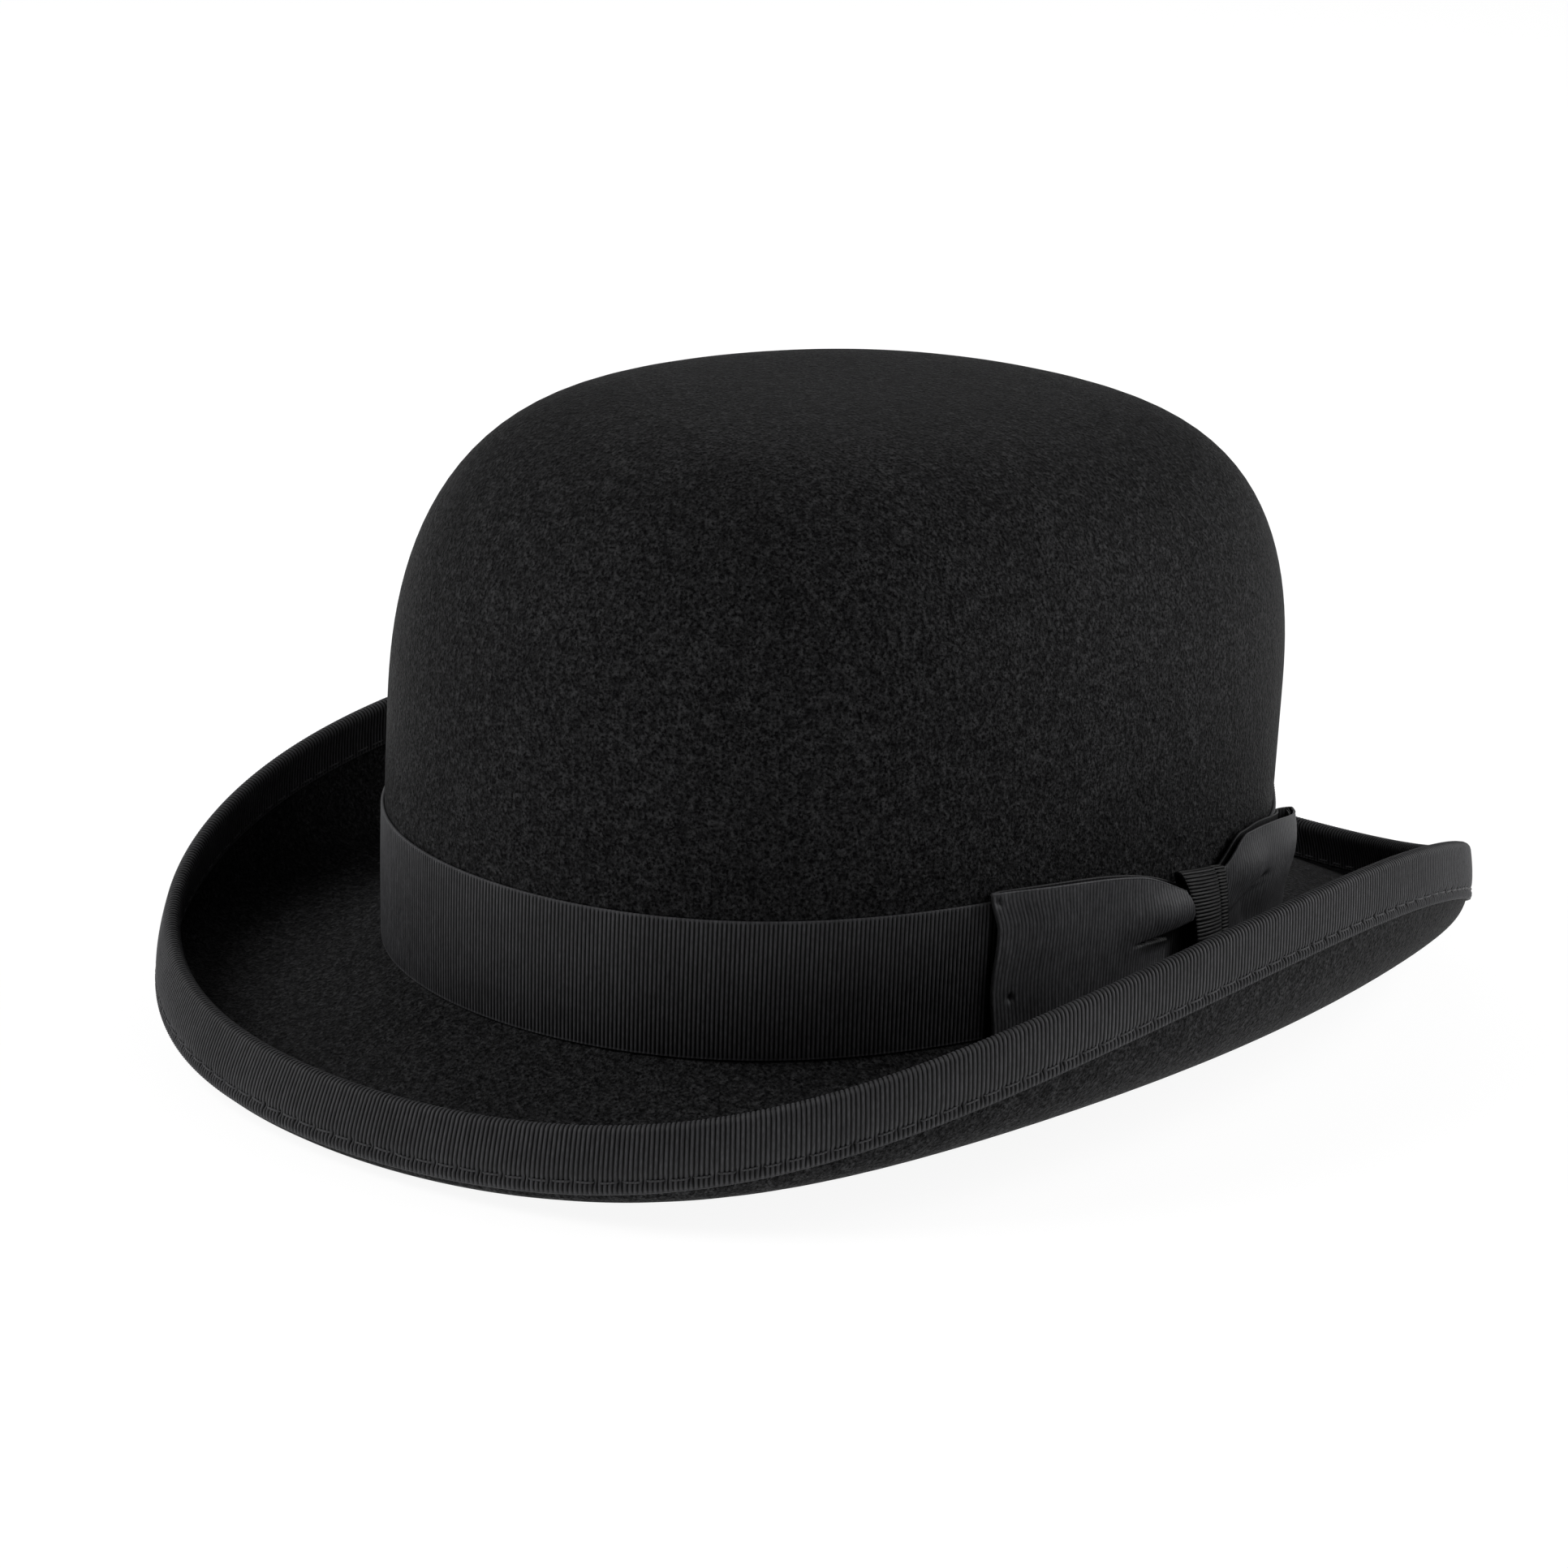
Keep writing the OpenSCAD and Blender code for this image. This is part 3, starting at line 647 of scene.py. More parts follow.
def make_felt(material):
    a = ring_angles(CROWN_STEPS)
    grid = felt_grid(a)
    n, m = grid.shape[:2]
    poles = np.stack([dome_pt(0.0, FELT_T, 0.0), dome_pt(0.0, 0.0, 0.0)])
    points = np.concatenate([grid.reshape(-1, 3), poles])
    return add_mesh("felt_hood", points, pole_faces(n, m), material, ["felt_body"])


# ---- Hat band ----

LAP_START = np.radians(KEEPER_DEG - 6)
LAP_END = np.radians(KEEPER_DEG + 368)
RAMP_START = LAP_START + np.radians(351)
BAND_OFF = 0.0006
LAP_OFF = 0.0011


def hump(x, centre, width):
    return np.exp(-((x - centre) / width) ** 2)


def bow_length(a):
    """Length along the crown from the middle of the bow's keeper to angle a."""
    return ((a - np.radians(KEEPER_DEG) + np.pi) % (2 * np.pi) - np.pi) * SIDE_R


def band_height(a):
    """Height of the band, which is drawn in where the bow is sewn over it."""
    l = bow_length(a)
    return BAND_H - 0.007 / (1 + (l / 0.0195) ** 4) - 0.0043 * np.exp(-((l - 0.052) / 0.02) ** 4)


def band_mid(a, z):
    lift = (LAP_OFF - BAND_OFF) * ease((a - RAMP_START) / np.radians(6))
    height = base_z(a) + BAND_Z + z * band_height(a) / BAND_H
    return wall_pt(a, -(BAND_OFF - RIBBON_T / 2) - lift, height)


def make_band(material):
    a = np.linspace(LAP_START, LAP_END, 4000)
    along = path_length(band_mid(a, BAND_H / 2))
    at, rise = rib_stations(along[-1])
    angle = np.interp(at, along, a)
    x = across_stations(BAND_H)
    middle = band_mid(angle[:, None], x[None, :])
    grid = ribbon_grid(middle, BAND_H, x, rise, False, BAND_RIB_H)
    # Painted shadow: the band's colour is darkened beside the front wing's end, where the wing's shadow
    # falls
    painted_wing_shadow = 1.2 * hump(bow_length(angle), 0.0006 - WING_L, 0.0009)[:, None]
    piece = add_loft("band_ribbon_strip", grid, False,
                     material, ["hat_band"], ribbon_cloth(at, x, rise, painted_wing_shadow))
    return piece


def make_join_stitches(material):
    lines = []
    for i in range(7):
        z = BAND_Z + band_height(np.radians(KEEPER_DEG + 5)) * (i + 0.7) / 7.4
        t = np.linspace(0, 1, 9)
        a = np.radians(KEEPER_DEG + 5) + 0.0024 / SIDE_R * t
        lines.append(wall_pt(a, -(LAP_OFF + SKIN_GAP + 0.00016 * np.sin(np.pi * t)), z + 0 * t))
    return add_threads("lap_hand_stitches", lines, 0.00014, material, ["band_join_stitches"])


# ---- Bow ----

# The wings reach 0.5 mm further than in the frame
WING_L = 0.0655
FRONT_PLEAT_L = 0.0285
BOW_BACK = 0.0012
BOW_UNDER = 0.0006
BOW_W = 0.033
TACK_DENT = 0.0007
FRONT_TACKS = [(0.0634, 0.0314), (0.0603, 0.01)]
REAR_TACKS = [(0.0610, 0.0215), (0.0605, 0.009)]


def bow_top(l):
    """Height of the bow's top edge above the crown's base, l along from the keeper's middle."""
    front = 0.034 - 0.0098 * np.exp((np.minimum(l, 0) + 0.0106) / 0.0175)
    rear = 0.025 + 0.0056 * ease((l - 0.002) / 0.013) - 0.0068 * ease((l - 0.018) / 0.055)
    return np.where(l < 0, np.maximum(front, 0.0243), rear)


def bow_low(l):
    pinch = ease(1 - (np.abs(l) - 0.006) / 0.016)
    return 0.0017 + 0.0032 * pinch


def keeper_left(z):
    return -0.0068 - 0.0072 * np.clip((z - 0.004) / 0.0237, 0, 1.2) ** 2.2


def keeper_right(z):
    return 0.0068 - 0.0038 * np.clip((z - 0.004) / 0.0215, 0, 1.2) ** 1.6


def under_keeper(l, z, margin=0.0):
    """1 where the bow lies under the keeper, easing to 0 beside it."""
    left = ease((l - keeper_left(z) + 0.0007 + margin) / 0.0007)
    return left * ease((keeper_right(z) + 0.001 + margin - l) / 0.001)


def front_pleat(s, z, spread=1.0):
    """Depth of the pleat beside the keeper, 0 to 1, and of the hollow at its root."""
    wide = spread * (0.0004 + 0.0009 * ease((0.026 - s) / 0.016))
    pleat = ease((FRONT_PLEAT_L - s) / 0.011) * np.exp(-((z - 0.0149 * spread ** -0.08) / wide) ** 4)
    hollow = ease((0.0155 - s) / 0.004) * ease((0.0158 - z) / 0.0014)
    return pleat, hollow


def front_wing(s, z):
    """How far the front wing stands off the felt, s from the keeper's middle."""
    flat = 0.0030 + 0.0003 * hump(s, 0.040, 0.014) - 0.0008 * ease((s - 0.048) / 0.014)
    puff = 0.0027 * hump(s, 0.014, 0.013) * hump(z, 0.0200, 0.0049)
    drawn = ease((FRONT_PLEAT_L - s) / 0.013)
    step = 0.0011 * drawn * ease((0.0150 - z) / 0.0012) * ease((z - 0.004) / 0.006)
    pleat, hollow = front_pleat(s, z)
    tack = sum(hump(s, at, TACK_DENT) * hump(z, high, TACK_DENT) for at, high in FRONT_TACKS)
    return flat + puff - step - 0.0048 * pleat - 0.0040 * hollow - 0.0012 * tack


def rear_pleat(r, z):
    """The rear wing's pleat: its height, how far it is drawn in, and its depth, 0 to 1."""
    pleat_z = 0.0125 + 0.006 * ease((r - 0.006) / 0.018)
    drawn = ease((0.030 - r) / 0.014)
    return pleat_z, drawn, drawn * hump(z, pleat_z, 0.001)


def rear_wing(r, z):
    """How far the rear wing stands off the felt, r from the keeper's middle."""
    flat = 0.0030 + 0.0008 * ease((r - 0.01) / 0.02)
    puff = 0.0021 * hump(r, 0.048, 0.024) * hump(z, 0.0195, 0.008)
    near = 0.0019 * hump(r, 0.015, 0.009) * hump(z, 0.0225, 0.005)
    pleat_z, drawn, pleat = rear_pleat(r, z)
    step = 0.0021 * drawn * ease((pleat_z - z) / 0.0022) * ease((z - 0.003) / 0.008)
    return flat + puff + near - step - 0.0026 * pleat


def bow_crease_shade(l, z):
    """Painted shade on the bow's outer face: in the front pleat and its hollow, along a strip below them,
    and over the rear wing, most towards its lower edge.
    """
    pleat, hollow = front_pleat(-l, z, 1.9)
    # Painted shade along the strip below the front pleat, where its ridge would catch light
    under = ease((FRONT_PLEAT_L + l) / 0.011) * hump(z, 0.0134, 0.0013)
    front = 1.7 * np.maximum(np.maximum(pleat, hollow), 0.8 * under)
    # Painted shade: the rear wing is darkened all over, more towards its lower edge, and in its pleat
    rear = 1.36 * rear_pleat(l, z)[2] + 0.2 + 0.45 * ease((0.019 - z) / 0.009)
    return np.where(l < 0, front, rear)


def bow_off(l, z):
    off = np.where(l < 0, front_wing(-l, z), rear_wing(l, z))
    capped = np.minimum(off, 0.0035)
    return off + (capped - off) * under_keeper(l, z)


def bow_back(l, z):
    near = ease(1 - (np.abs(l) - 0.017) / 0.01)
    return BOW_BACK + 0.0005 * near + BOW_UNDER * under_keeper(l, z, 0.001)


def wing_end(v):
    """The S-shaped line of a wing's end, as a shift along the crown."""
    return 0.0005 * np.cos(2.9 * np.pi * v) - 0.0014 * ease((v - 0.72) / 0.28)


def bow_middle(q, v):
    """The ribbon's middle surface and its painted crease shade: q runs once round the loop, v up across it.
    """
    turn_r = 0.0008
    half = WING_L - turn_r
    turn = np.pi * turn_r
    straight = 2 * half
    d = q * 2 * (straight + turn)
    legs = [d < straight, d < straight + turn, d < 2 * straight + turn]
    l = np.select(legs, [-half + d, half + turn_r * np.sin((d - straight) / turn_r),
                         half - (d - straight - turn)],
                  -half - turn_r * np.sin((d - 2 * straight - turn) / turn_r))
    share = np.select(legs, [0 * d, (1 - np.cos((d - straight) / turn_r)) / 2, 0 * d + 1],
                      (1 + np.cos((d - 2 * straight - turn) / turn_r)) / 2)
    l, share, v = np.broadcast_arrays(l, share, v)
    far = ease((np.abs(l) - 0.035) / 0.026)
    tuck = 0.0022 * (1 - share) * ease((np.abs(l) - 0.05) / 0.012)
    shift = wing_end(v) * np.where(l < 0, 1, -0.6) * far - np.sign(l) * tuck
    place = np.clip(l, -half, half)
    low, top = bow_low(place), bow_top(place)
    top = top - 0.0010 * share * ease((0.026 + place) / 0.014) * (place < 0)
    z = low + (top - low) * v
    front = np.maximum(bow_off(place, z), BOW_BACK + 0.0004)
    back = np.minimum(bow_back(place, z), front - 0.0004)
    off = back + (front - back) * share
    a = np.radians(KEEPER_DEG) + (l + shift) / SIDE_R
    # Painted shade: the loop's back layer, under the front one, is darkened
    return wall_pt(a, -off, base_z(a) + z), bow_crease_shade(place, z) + 1.2 * (1 - share)


def make_bow(material):
    q = np.linspace(0, 1, 6000)
    along = path_length(bow_middle(q, np.full_like(q, 0.9))[0])
    at, rise = rib_stations(along[-1])
    where = np.interp(at, along, q)
    x = across_stations(BOW_W, 0.00045)
    middle, crease = bow_middle(where[:, None], (x / BOW_W)[None, :])
    # Painted crease shade for the outer face and, mirrored, for the inner
    crease = np.concatenate([crease, crease[:, 1:-1][:, ::-1]], axis=1)
    grid = ribbon_grid(middle, BOW_W, x, rise, True, BOW_RIB_H)
    piece = add_loft("bow_loop", grid, True,
                     material, ["bow_ribbon"], ribbon_cloth(at, x, rise, crease))
    return piece


def keeper_middle(q, v):
    """The keeper's loop: q runs once round it, up the front and down the back, v along the band."""
    b = 2 * np.pi * q
    c, s = np.cos(b), np.sin(b)
    c = np.sign(c) * np.abs(c) ** 0.5
    s = np.sign(s) * np.abs(s) ** 0.5
    top, low = 0.0281 - 0.0024 * v, 0.0039
    z = (top + low) / 2 + (top - low) / 2 * s
    left, right = keeper_left(z), keeper_right(z)
    l = left + (right - left) * v
    fold = 0.0009 * hump(v, 0.76, 0.035) + 0.0003 * ease((v - 0.76) / 0.06)
    front = 0.0045 + 0.0004 * np.sin(np.pi * np.clip(v / 0.76, 0, 1)) - fold
    back = 0.0019
    off = (front + back) / 2 + (front - back) / 2 * c
    a = np.radians(KEEPER_DEG) + l / SIDE_R
    return wall_pt(a, -off, base_z(a) + z)


def make_keeper(material):
    q = np.linspace(0, 1, 4000)
    along = path_length(keeper_middle(q, np.full_like(q, 0.5)))
    at, rise = rib_stations(along[-1], 0.0009)
    where = np.interp(at, along, q)
    x = across_stations(KEEPER_W, 0.0007)
    middle = keeper_middle(where[:, None], (x / KEEPER_W)[None, :])
    grid = ribbon_grid(middle, KEEPER_W, x, rise, True, KEEPER_RIB_H)
    # Painted shade: 0.48 darkens the keeper's whole face, most in its grooves
    piece = add_loft("bow_keeper_loop", grid, True,
                     material, ["bow_keeper"], ribbon_cloth(at, x, rise, 0.48))
    return piece


def tack_line(l, z, rise, reach=0.0014, drop=0.0):
    """A short stitch on the bow's outer face, from one hole to the other."""
    t = np.linspace(0, 1, 7)
    off = float(bow_off(np.array(l), np.array(z))) + 0.0003 + rise * np.sin(np.pi * t)
    a = np.radians(KEEPER_DEG) + (l + reach * (t - 0.5)) / SIDE_R
    return wall_pt(a, -off, base_z(a) + z + drop * (t - 0.5))


def make_tacks(material):
    """Short cross tacks at the ends of the wings, and the frayed thread ends of the rear one."""
    lines = []
    for l, z in [(-at, high) for at, high in FRONT_TACKS] + REAR_TACKS:
        lines += [tack_line(l, z, 0.0001), tack_line(l, z + 0.0001, 0.0002, 0.0007, 0.0009)]
    for l, lean in ((0.050, 0.0012), (0.0535, -0.0006), (0.0565, 0.0009)):
        t = np.linspace(0, 1, 9)
        a = np.radians(KEEPER_DEG) + (l + lean * t ** 2) / SIDE_R
        height = float(bow_top(np.array(l))) - 0.0012 + 0.0020 * t
        lines.append(wall_pt(a, -(0.0036 + 0.0004 * np.sin(4 * t)), base_z(a) + height))
    return add_threads("bow_tacks", lines, 0.00015, material, ["bow_tack_stitches"])


# ---- Binding ----

# Narrower on the inner face than in the frame, where both faces are as wide as the outer
BINDING_W_IN = 0.0102
STITCH_N = 186
STITCH_S = BINDING_W - 0.0023
STITCH_S_IN = BINDING_W_IN - 0.0012
STITCH_LIFT = 0.0001
BINDING_START = HALF_T + SKIN_GAP + RIBBON_T


def binding_sections():
    """Widths of the binding's section: round the rim, on the outer face and on the inner."""
    return SKIN * np.pi, BINDING_W - BINDING_START, BINDING_W_IN - BINDING_START


def binding_middle(a, x):
    """The binding's middle surface at widths x from its outer edge, round the rim, to its inner."""
    arc, outer, _ = binding_sections()
    on_outer, on_cap = x < outer, (x >= outer) & (x < outer + arc)
    turn = np.where(on_outer, -np.pi / 2, np.where(on_cap, (x - outer) / SKIN - np.pi / 2, np.pi / 2))
    s = np.where(on_outer, BINDING_W - x, np.where(on_cap, BINDING_START, BINDING_START + x - outer - arc))
    pitch = 2 * np.pi / STITCH_N
    near = np.abs(((a / pitch + 0.5) % 1) - 0.5)[:, None]
    pull = 0.0002 * hump(s, STITCH_S, 0.0006) + 0.0004 * hump(s, STITCH_S, 0.0007) * hump(near, 0, 0.12)
    flare = 0.0002 * ease((s - STITCH_S) / 0.0014)
    off = SKIN - np.where(on_outer, pull - flare, 0.4 * pull)
    return brim_pt(a, np.broadcast_to(s, (len(a), x.shape[-1])), off * np.cos(turn), off * np.sin(turn))


def make_binding(material):
    arc, outer, inner = binding_sections()
    width = outer + arc + inner
    fine = ring_angles(2400)
    along = path_length(placed(*rim_xyz(fine)), closed=True)
    at, rise = rib_stations(along[-1], 0.001)
    a = np.interp(at, along, np.append(fine, 2 * np.pi))
    edge = SELVEDGE_PLACES
    x = np.concatenate([
        edge,
        np.arange(0.0014, outer - 0.0003, 0.0006),
        outer + np.linspace(0, arc, 9),
        np.linspace(outer + arc, width - edge[-1], 8)[1:-1],
        width - edge[::-1],
    ])
    middle = binding_middle(a, x[None, :])
    flared = BINDING_RIB_H * (1 + 0.6 * ease((BINDING_W - STITCH_S - x) / 0.0006))
    grid = ribbon_grid(middle, width, x, rise, True, flared)
    piece = add_loft("rim_binding", grid, True,
                     material, ["brim_binding"], ribbon_cloth(at, x, rise))
    return piece


def make_binding_stitches(material):
    rng = np.random.default_rng(3)
    pitch = 2 * np.pi / STITCH_N
    t = np.linspace(0, 1, 9)
    lines = []
    for side, s in ((-1, STITCH_S), (1, STITCH_S_IN)):
        for i in range(STITCH_N):
            jitter = rng.normal(0, 0.00008, 2)
            a = pitch * (i + 0.08 + 0.84 * t)
            height = SKIN + RIBBON_T / 2 + STITCH_LIFT - 0.0005 * np.abs(2 * t - 1) ** 4
            at = s + jitter[0] + (jitter[1] - jitter[0]) * t
            lines.append(brim_pt(a, at[:, None], 0, (side * height)[:, None])[:, 0])
    return add_threads("binding_lockstitch", lines, 0.00024, material, ["binding_stitches"], 5)


# ---- Sweatband ----

BACK_BOW_W = 0.010
TICKET_AT = np.radians(208)
TICKET_HALF = np.radians(8)
REED_STITCHES = 140
LEATHER_OUT = 0.00335
LEATHER_IN = LEATHER_OUT + LEATHER_T
LEATHER_Z = 0.0007
LEATHER_LEAN = 0.0008
REED_Z = -0.0006
REED_DEPTH = 0.00345
REED_D = 0.0012


def leather_pt(a, face, z):
    return wall_pt(a, face + LEATHER_LEAN * np.maximum(z, 0) / LEATHER_H, z)


def leather_wave(a, z):
    """Slow ripples of the leather, which grow towards its free upper edge."""
    grow = ease((z - 0.012) / 0.04)
    return grow * 0.00028 * (1 + np.sin(7 * a + 1) * 0.6 + np.sin(13 * a + 2.1) * 0.4)


def make_leather(material):
    a = ring_angles(360)[:, None]
    u = np.linspace(0, 1, 34)[None, :]
    t = 0.5 * LEATHER_T
    edge = t - np.sqrt(np.maximum(t ** 2 - np.maximum(t - u * LEATHER_H, 0) ** 2, 0))
    top = t - np.sqrt(np.maximum(t ** 2 - np.maximum(t - (1 - u) * LEATHER_H, 0) ** 2, 0))
    round_off = (edge + top) * 0.9
    z = base_z(a) + LEATHER_Z + u * LEATHER_H
    wave = leather_wave(a, z - base_z(a))
    outer = leather_pt(a, LEATHER_OUT + round_off + wave, z)
    inner = leather_pt(a, LEATHER_IN - round_off + wave, z)[:, ::-1]
    grid = np.concatenate([outer, inner], axis=1)
    return add_loft("sweatband_skin", grid, True, material, ["sweatband_leather"])


def make_reed(material):
    a = ring_angles(360)[:, None]
    b = ring_angles(12)[None, :]
    grid = wall_pt(a, REED_DEPTH - REED_D / 2 * np.cos(b), base_z(a) + REED_Z + REED_D / 2 * np.sin(b))
    return add_loft("reed_cord", grid, True, material, ["sweatband_reed"])


def tape_face(d0, d1, r, n=16):
    b = np.linspace(np.arccos((d0 - REED_DEPTH) / r), 2 * np.pi + np.arccos((d1 - REED_DEPTH) / r), n)
    d = np.concatenate([np.full(6, d0), REED_DEPTH + r * np.cos(b), np.full(6, d1)])
    down = np.linspace(0.006, 0.0008, 6)
    up = np.linspace(0.0008, 0.006, 6)
    z = np.concatenate([down, REED_Z + r * np.sin(b), up])
    return d, z


def make_tape(material):
    leg_0, t = FELT_T + 0.00015, 0.0003
    leg_1 = leg_0 + t + 0.0001
    r = REED_D / 2 + 0.00015
    d_in, z_in = tape_face(leg_0 + t, leg_1, r)
    d_out, z_out = tape_face(leg_0, leg_1 + t, r + t)
    d = np.concatenate([d_in, d_out[::-1]])[None, :]
    z = np.concatenate([z_in, z_out[::-1]])[None, :]
    a = ring_angles(480)[:, None]
    pucker = 0.00006 * np.sin(140 * a) * (z > 0.001)
    grid = wall_pt(a, d + pucker, base_z(a) + z)
    piece = add_loft("reed_tape_fold", grid, True, material, ["sweatband_reed_tape"])
    length = float(path_length(wall_pt(ring_angles(720), FELT_T, np.full(720, 0.003)), True)[-1])
    return piece


def make_reed_stitches(material):
    pitch = 2 * np.pi / REED_STITCHES
    t = np.linspace(0, 1, 7)
    lines = []
    for i in range(REED_STITCHES):
        a = pitch * (i + 0.1 + 0.75 * t)
        z = base_z(a) + 0.0032
        lift = 0.00012 - 0.0003 * np.abs(2 * t - 1) ** 4
        lines.append(leather_pt(a, LEATHER_IN + lift, z))
    return add_threads("reed_stitch_row", lines, 0.00018, material, ["reed_stitches"])


def make_seam_stitches(material):
    t = np.linspace(0, 1, 7)
    lines = []
    for i in range(14):
        side = 1 if i % 2 == 0 else -1
        z = 0.022 + 0.0022 * i + 0.0022 * 0.7 * t
        a = np.pi + side * np.radians(0.8) * (2 * t - 1)
        ripple = leather_wave(a, z - base_z(a))
        lift = 0.00012 - 0.0003 * np.abs(2 * t - 1) ** 4
        lines.append(leather_pt(a, LEATHER_IN + ripple + lift, z))
    return add_threads("back_seam_zigzag", lines, 0.00018, material,
                       ["sweatband_seam_stitches"])


def back_bow_middle(q, v):
    """The little bow's ribbon: two loops drawn together by the knot in its middle."""
    t = 2 * q - 1
    knot = hump(t, 0, 0.16)
    open_ = ease((np.abs(t) - 0.08) * 1.5)
    height = 0.0034 + (0.0088 - 0.0034) * open_
    droop = 0.0012 * np.abs(t) ** 2
    z = 0.013 + (v - 0.5) * height - droop
    a = np.pi + np.radians(8) * t
    gather = 0.00022 * np.sin(5 * np.pi * v) * (1 - open_)
    face = LEATHER_IN + 0.0005 + 0.0009 * np.sin(np.pi * np.abs(t)) + 0.0006 * knot + gather
    return leather_pt(a, face, z)


def make_back_bow(material):
    q = np.linspace(0, 1, 1000)
    along = path_length(back_bow_middle(q, np.full_like(q, 0.5)))
    at, rise = rib_stations(along[-1])
    where = np.interp(at, along, q)
    x = across_stations(BACK_BOW_W, 0.0008)
    middle = back_bow_middle(where[:, None], (x / BACK_BOW_W)[None, :])[:, ::-1]
    grid = ribbon_grid(middle, BACK_BOW_W, x, rise, False, BOW_RIB_H)
    piece = add_loft("back_bow", grid, False,
                     material, ["sweatband_bow"], ribbon_cloth(at, x, rise))
    return piece


def make_ticket(material):
    a = TICKET_AT + TICKET_HALF * np.linspace(-1, 1, 25)[:, None]
    u = np.linspace(0, 1, 13)[None, :]
    z = 0.024 + 0.015 * u + 0 * a
    curl = 0.0004 * ease((np.abs(a - TICKET_AT) / TICKET_HALF - 0.7) / 0.3) * u
    ripple = leather_wave(a, z - base_z(a)) + curl
    face = leather_pt(a, LEATHER_IN + 0.0002 + ripple, z)
    back = leather_pt(a, LEATHER_IN + 0.00035 + ripple, z)[:, ::-1]
    grid = np.concatenate([face, back], axis=1)
    return add_loft("ticket_blank", grid, False, material, ["size_ticket"])


# ---- Lining ----

LINING_OUT = FELT_T + 0.0002
LINING_SLACK = 0.0009
SATIN_T = 0.0003
TIP_OUT = LINING_OUT + LINING_SLACK + SATIN_T + 0.0002
TIP_SAG = 0.003
TIP_RHO = 1 - (5 / 9) ** 2


def lining_gather(a, up):
    """Soft vertical folds of the side lining, from behind the leather up to the tip's seam."""
    fold = np.sin(46 * a + 1.2 * np.sin(5 * a)) * 0.6 + np.sin(83 * a + 0.7) * 0.4
    return (0.0004 + 0.0007 * up) * ease((up - 0.2) / 0.25) * (1 + fold) * 0.5


def make_lining_side(material):
    a = ring_angles(720)[:, None]
    wall = np.linspace(0, 1, 9)[None, :]
    shares = dome_shares(40)
    rho = shares[shares > TIP_RHO]
    rho = np.append(rho, TIP_RHO)[None, 1:]
    n = 9 + rho.shape[1]
    up = (np.arange(n) / (n - 1))[None, :]

    def face(d):
        depth = d + LINING_SLACK * up + lining_gather(a, up)
        low = wall_pt(a, depth[:, :9], 0.022 + (WALL_H - 0.022) * wall + 0 * a)
        return np.concatenate([low, dome_pt(a, depth[:, 9:], rho)], axis=1)

    grid = np.concatenate([face(LINING_OUT), face(LINING_OUT + SATIN_T)[:, ::-1]], axis=1)
    piece = add_loft("lining_side_gathered", grid, True, material, ["lining_side"])
    return piece


def tip_depth(rho):
    return TIP_OUT + TIP_SAG * (TIP_RHO - rho)


def shell_piece(name, low, high, poles, material, nodes):
    grid = np.concatenate([low, high], axis=1)
    n, m = grid.shape[:2]
    points = np.concatenate([grid.reshape(-1, 3), poles])
    return add_mesh(name, points, pole_faces(n, m), material, nodes)


def make_lining_tip(material):
    a = ring_angles(240)[:, None]
    rho = np.linspace(0, TIP_RHO, 30)[None, 1:]
    ripple = 0.00035 * np.sin(9 * a + 2) * np.sin(np.pi * rho / TIP_RHO)
    low = dome_pt(a, tip_depth(rho) + SATIN_T + ripple + 0.0002, rho)
    high = dome_pt(a, tip_depth(rho) + ripple + 0.0002, rho)[:, ::-1]
    poles = np.stack([dome_pt(0.0, tip_depth(0) + SATIN_T + 0.0002, 0.0),
                      dome_pt(0.0, tip_depth(0) + 0.0002, 0.0)])
    piece = shell_piece("lining_tip_oval", low, high, poles, material, ["lining_tip"])
    return piece


def make_piping(material):
    a = ring_angles(720)[:, None]
    b = ring_angles(12)[None, :]
    r = 0.0008 * (1 + 0.05 * np.sin(150 * a))
    centre = dome_pt(a, TIP_OUT + SATIN_T + 0.00015 + 0.0008, TIP_RHO)
    out = np.stack([np.cos(b) * np.sin(a), -np.cos(b) * np.cos(a), np.sin(b) + 0 * a], axis=-1)
    grid = centre + out * r[..., None]
    return add_loft("lining_piped_edge", grid, True, material, ["lining_piping"])


def make_protector(material):
    a = ring_angles(240)[:, None]
    shape = 1.25
    edge = 0.52 / (np.abs(np.sin(a)) ** shape + np.abs(np.cos(a)) ** shape) ** (1 / shape)
    share = np.linspace(0, 1, 20)[None, 1:]
    rho = share * edge
    depth = tip_depth(rho) + SATIN_T + 0.0005
    low = dome_pt(a, depth + SATIN_T, rho)
    high = dome_pt(a, depth, rho)[:, ::-1]
    poles = np.stack([dome_pt(0.0, tip_depth(0) + 2 * SATIN_T + 0.0005, 0.0),
                      dome_pt(0.0, tip_depth(0) + SATIN_T + 0.0005, 0.0)])
    return shell_piece("tip_clear_sheet", low, high, poles, material,
                       ["lining_tip_protector"])


# ---- The hat ----

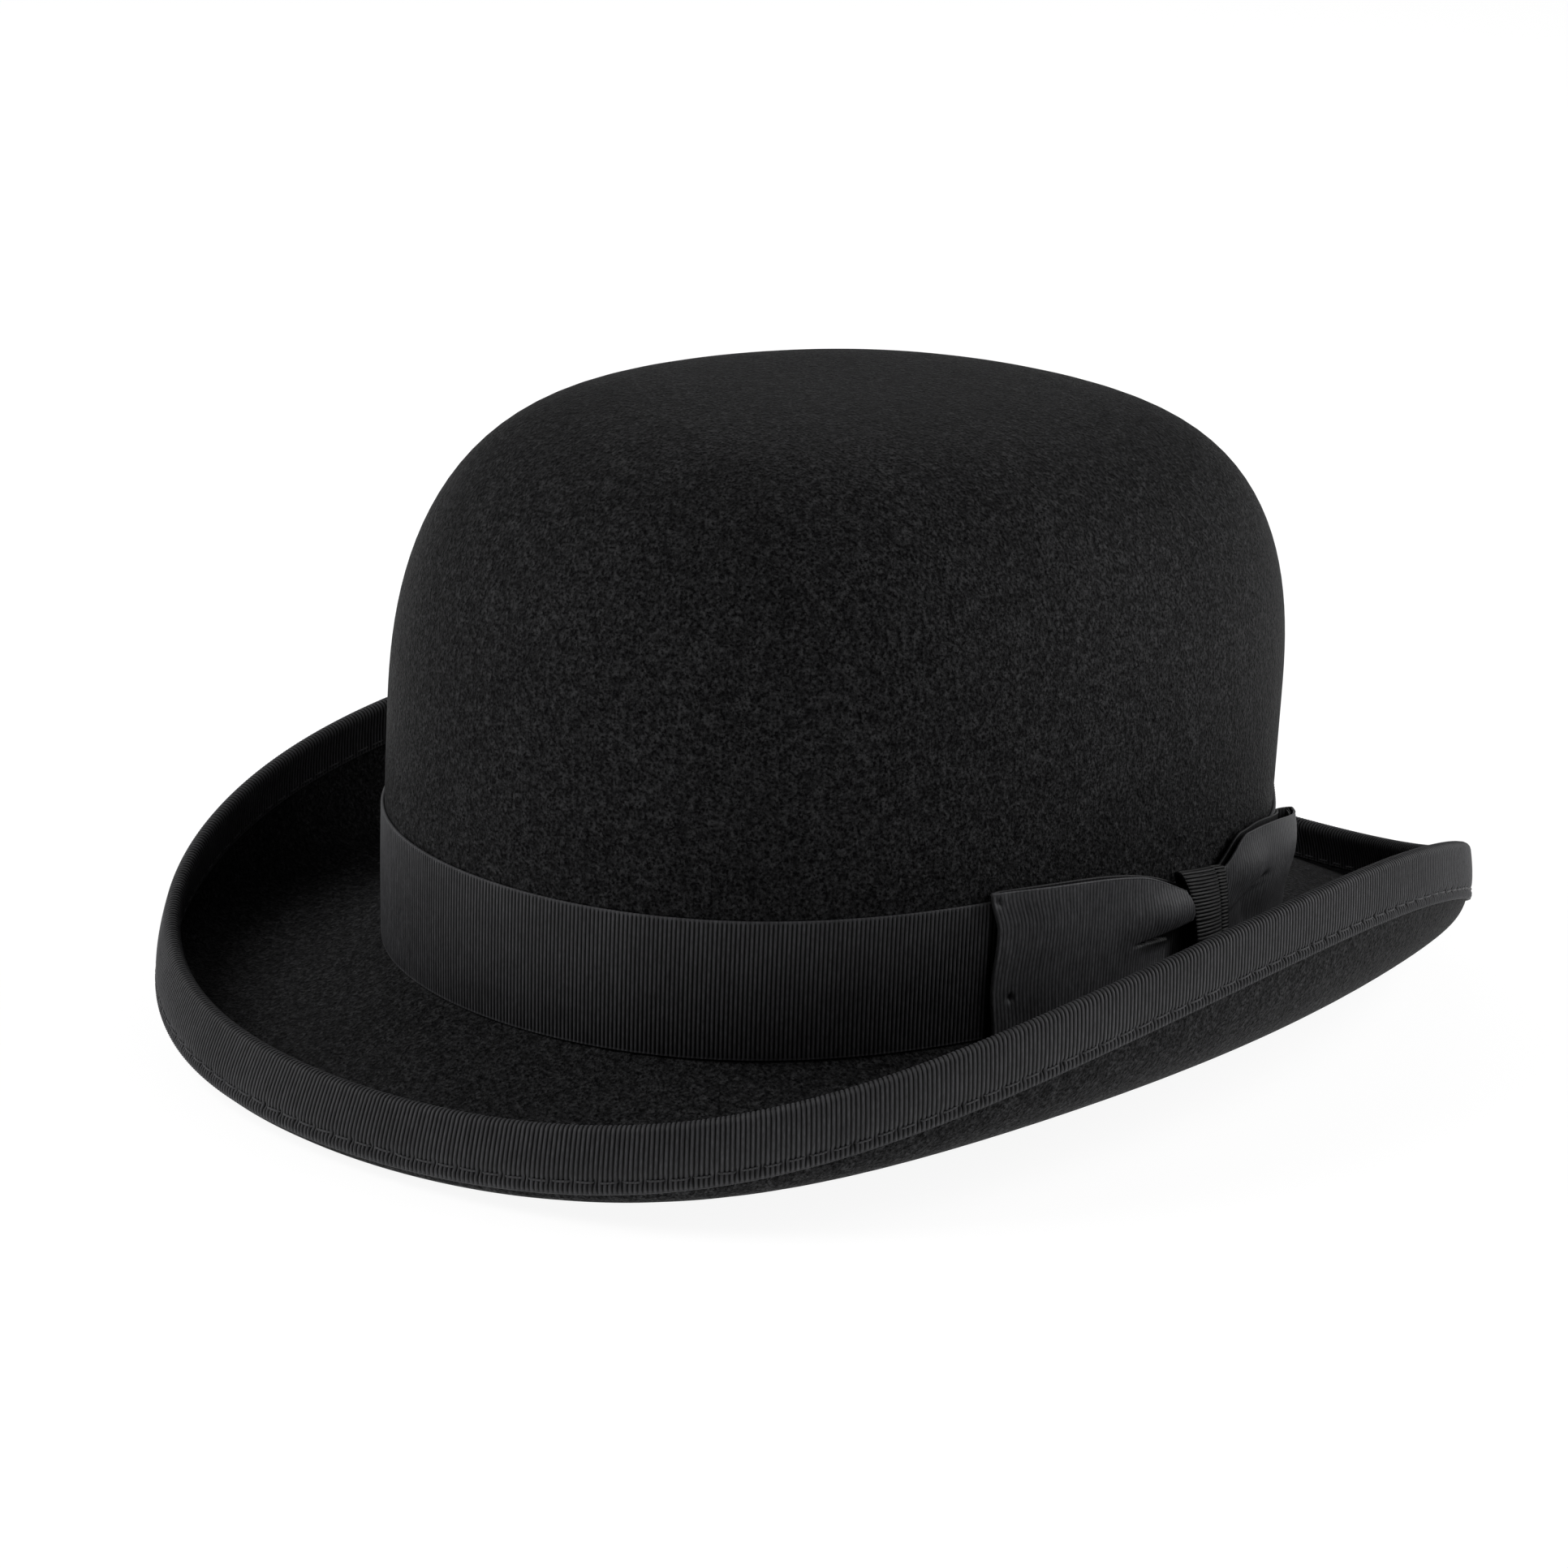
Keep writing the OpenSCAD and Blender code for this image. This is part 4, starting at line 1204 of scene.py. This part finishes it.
def build_hat():
    felt = felt_material()
    band = ribbon_material("band_grosgrain", 0.0015, 0.102, 0.0)
    # The bow's grosgrain is a lighter copy of the band's, partly painted light for the light its wings
    # catch; its grooves take less painted shade, as its ribs are finer
    bow = ribbon_material("bow_grosgrain", 0.0015, 0.125, 0.45)
    binding = ribbon_material("binding_grosgrain", 0.0015, 0.084, 0.0)
    thread, leather = thread_material(), leather_material()
    satin, tape = satin_material(), tape_material()
    make_felt(felt)
    make_band(band)
    make_join_stitches(thread)
    make_bow(bow)
    make_keeper(band)
    make_tacks(thread)
    make_binding(binding)
    make_binding_stitches(thread)
    make_leather(leather)
    make_reed(reed_material())
    make_tape(tape)
    make_reed_stitches(thread)
    make_seam_stitches(thread)
    make_back_bow(band)
    make_lining_side(satin)
    make_lining_tip(satin)
    make_piping(satin)
    make_protector(clear_material())
    make_ticket(paper_material())


# ---- Studio ----

CAMERA_AZIMUTH = math.radians(43.27)
CAMERA_ELEVATION = math.radians(16.72)
CAMERA_ROLL = math.radians(1.75)
CAMERA_DISTANCE = 1.2
CAMERA_LENS = 123.28
CAMERA_ASIDE = -0.01023
CAMERA_RAISED = 0.02991


def make_camera():
    az, el, roll = CAMERA_AZIMUTH, CAMERA_ELEVATION, CAMERA_ROLL
    back = Vector((math.sin(az) * math.cos(el), -math.cos(az) * math.cos(el), math.sin(el)))
    level = Vector((math.cos(az), math.sin(az), 0))
    upright = back.cross(level)
    right = math.cos(roll) * level + math.sin(roll) * upright
    up = math.cos(roll) * upright - math.sin(roll) * level
    data = bpy.data.cameras.new("photo_camera")
    data.sensor_width = 36
    data.lens = CAMERA_LENS
    data.clip_start = 0.05
    data.clip_end = 50
    camera = bpy.data.objects.new("photo_camera", data)
    base = Vector((0, -CENTRE_Y, STAND_H))
    centre = base + CAMERA_DISTANCE * back + CAMERA_ASIDE * right + CAMERA_RAISED * up
    camera.matrix_world = Matrix((
        (right.x, up.x, back.x, centre.x),
        (right.y, up.y, back.y, centre.y),
        (right.z, up.z, back.z, centre.z),
        (0, 0, 0, 1)))
    bpy.context.scene.collection.objects.link(camera)
    bpy.context.scene.camera = camera


def make_floor():
    """A wide pale floor that lies under the hat and runs off to the horizon."""
    s = Shader("studio_floor", (0.17, 0.17, 0.17), 0.9, Specular_IOR_Level=0.0,
               Emission_Color=(1, 1, 1, 1), Emission_Strength=0.91)
    rings = np.concatenate([[0.4], np.geomspace(0.8, 40, 9)])
    a = ring_angles(64)[:, None]
    x, y = rings[None, :] * np.cos(a), rings[None, :] * np.sin(a)
    points = np.stack([x, y, 0 * x], axis=-1).reshape(-1, 3)
    faces = grid_quads(64, len(rings), True, False)[:, ::-1].tolist()
    faces.append([i * len(rings) for i in range(64)])
    mesh = bpy.data.meshes.new("studio_floor")
    mesh.from_pydata(points.tolist(), [], faces)
    mesh.materials.append(s.material)
    floor = bpy.data.objects.new("studio_floor", mesh)
    floor.location.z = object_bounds()[0].z - 0.0002
    bpy.context.scene.collection.objects.link(floor)


def add_softbox(name, azimuth, elevation, distance, size, watts):
    """An area light aimed at the hat from an azimuth and elevation in degrees."""
    az, el = math.radians(azimuth), math.radians(elevation)
    out = Vector((math.sin(az) * math.cos(el), -math.cos(az) * math.cos(el), math.sin(el)))
    data = bpy.data.lights.new(name, "AREA")
    data.shape = "RECTANGLE"
    data.size, data.size_y = size
    data.energy = watts
    light = bpy.data.objects.new(name, data)
    aim = Vector((0, 0, 0.07))
    light.location = aim + out * distance
    light.rotation_euler = (-out).to_track_quat("-Z", "Y").to_euler()
    bpy.context.scene.collection.objects.link(light)


# Softboxes: azimuth and elevation in degrees, distance, size and radiance
SOFTBOXES = {
    "left_softbox": (-42, 40, 1.6, (1.0, 1.2), 3.7),
    "left_low_softbox": (-72, 20, 1.6, (1.0, 1.2), 1.0),
    "right_softbox": (118, 12, 1.6, (1.0, 1.2), 1.0),
    "right_high_softbox": (120, 40, 1.6, (1.0, 1.2), 0.45),
    "right_rear_softbox": (147, 27, 1.6, (1.0, 1.2), 4.5),
    "rear_softbox": (-135, 35, 1.8, (1.2, 1.2), 0.9),
}


def make_lights():
    world = bpy.data.worlds.new("studio_air")
    world.use_nodes = True
    air = world.node_tree.nodes["Background"]
    air.inputs["Color"].default_value = (1, 1, 1, 1)
    air.inputs["Strength"].default_value = 0.08
    bpy.context.scene.world = world
    for name, (azimuth, elevation, distance, size, radiance) in SOFTBOXES.items():
        add_softbox(name, azimuth, elevation, distance, size, math.pi * size[0] * size[1] * radiance)
    bpy.context.scene.view_settings.view_transform = "Standard"


build_hat()
make_camera()
make_floor()
make_lights()
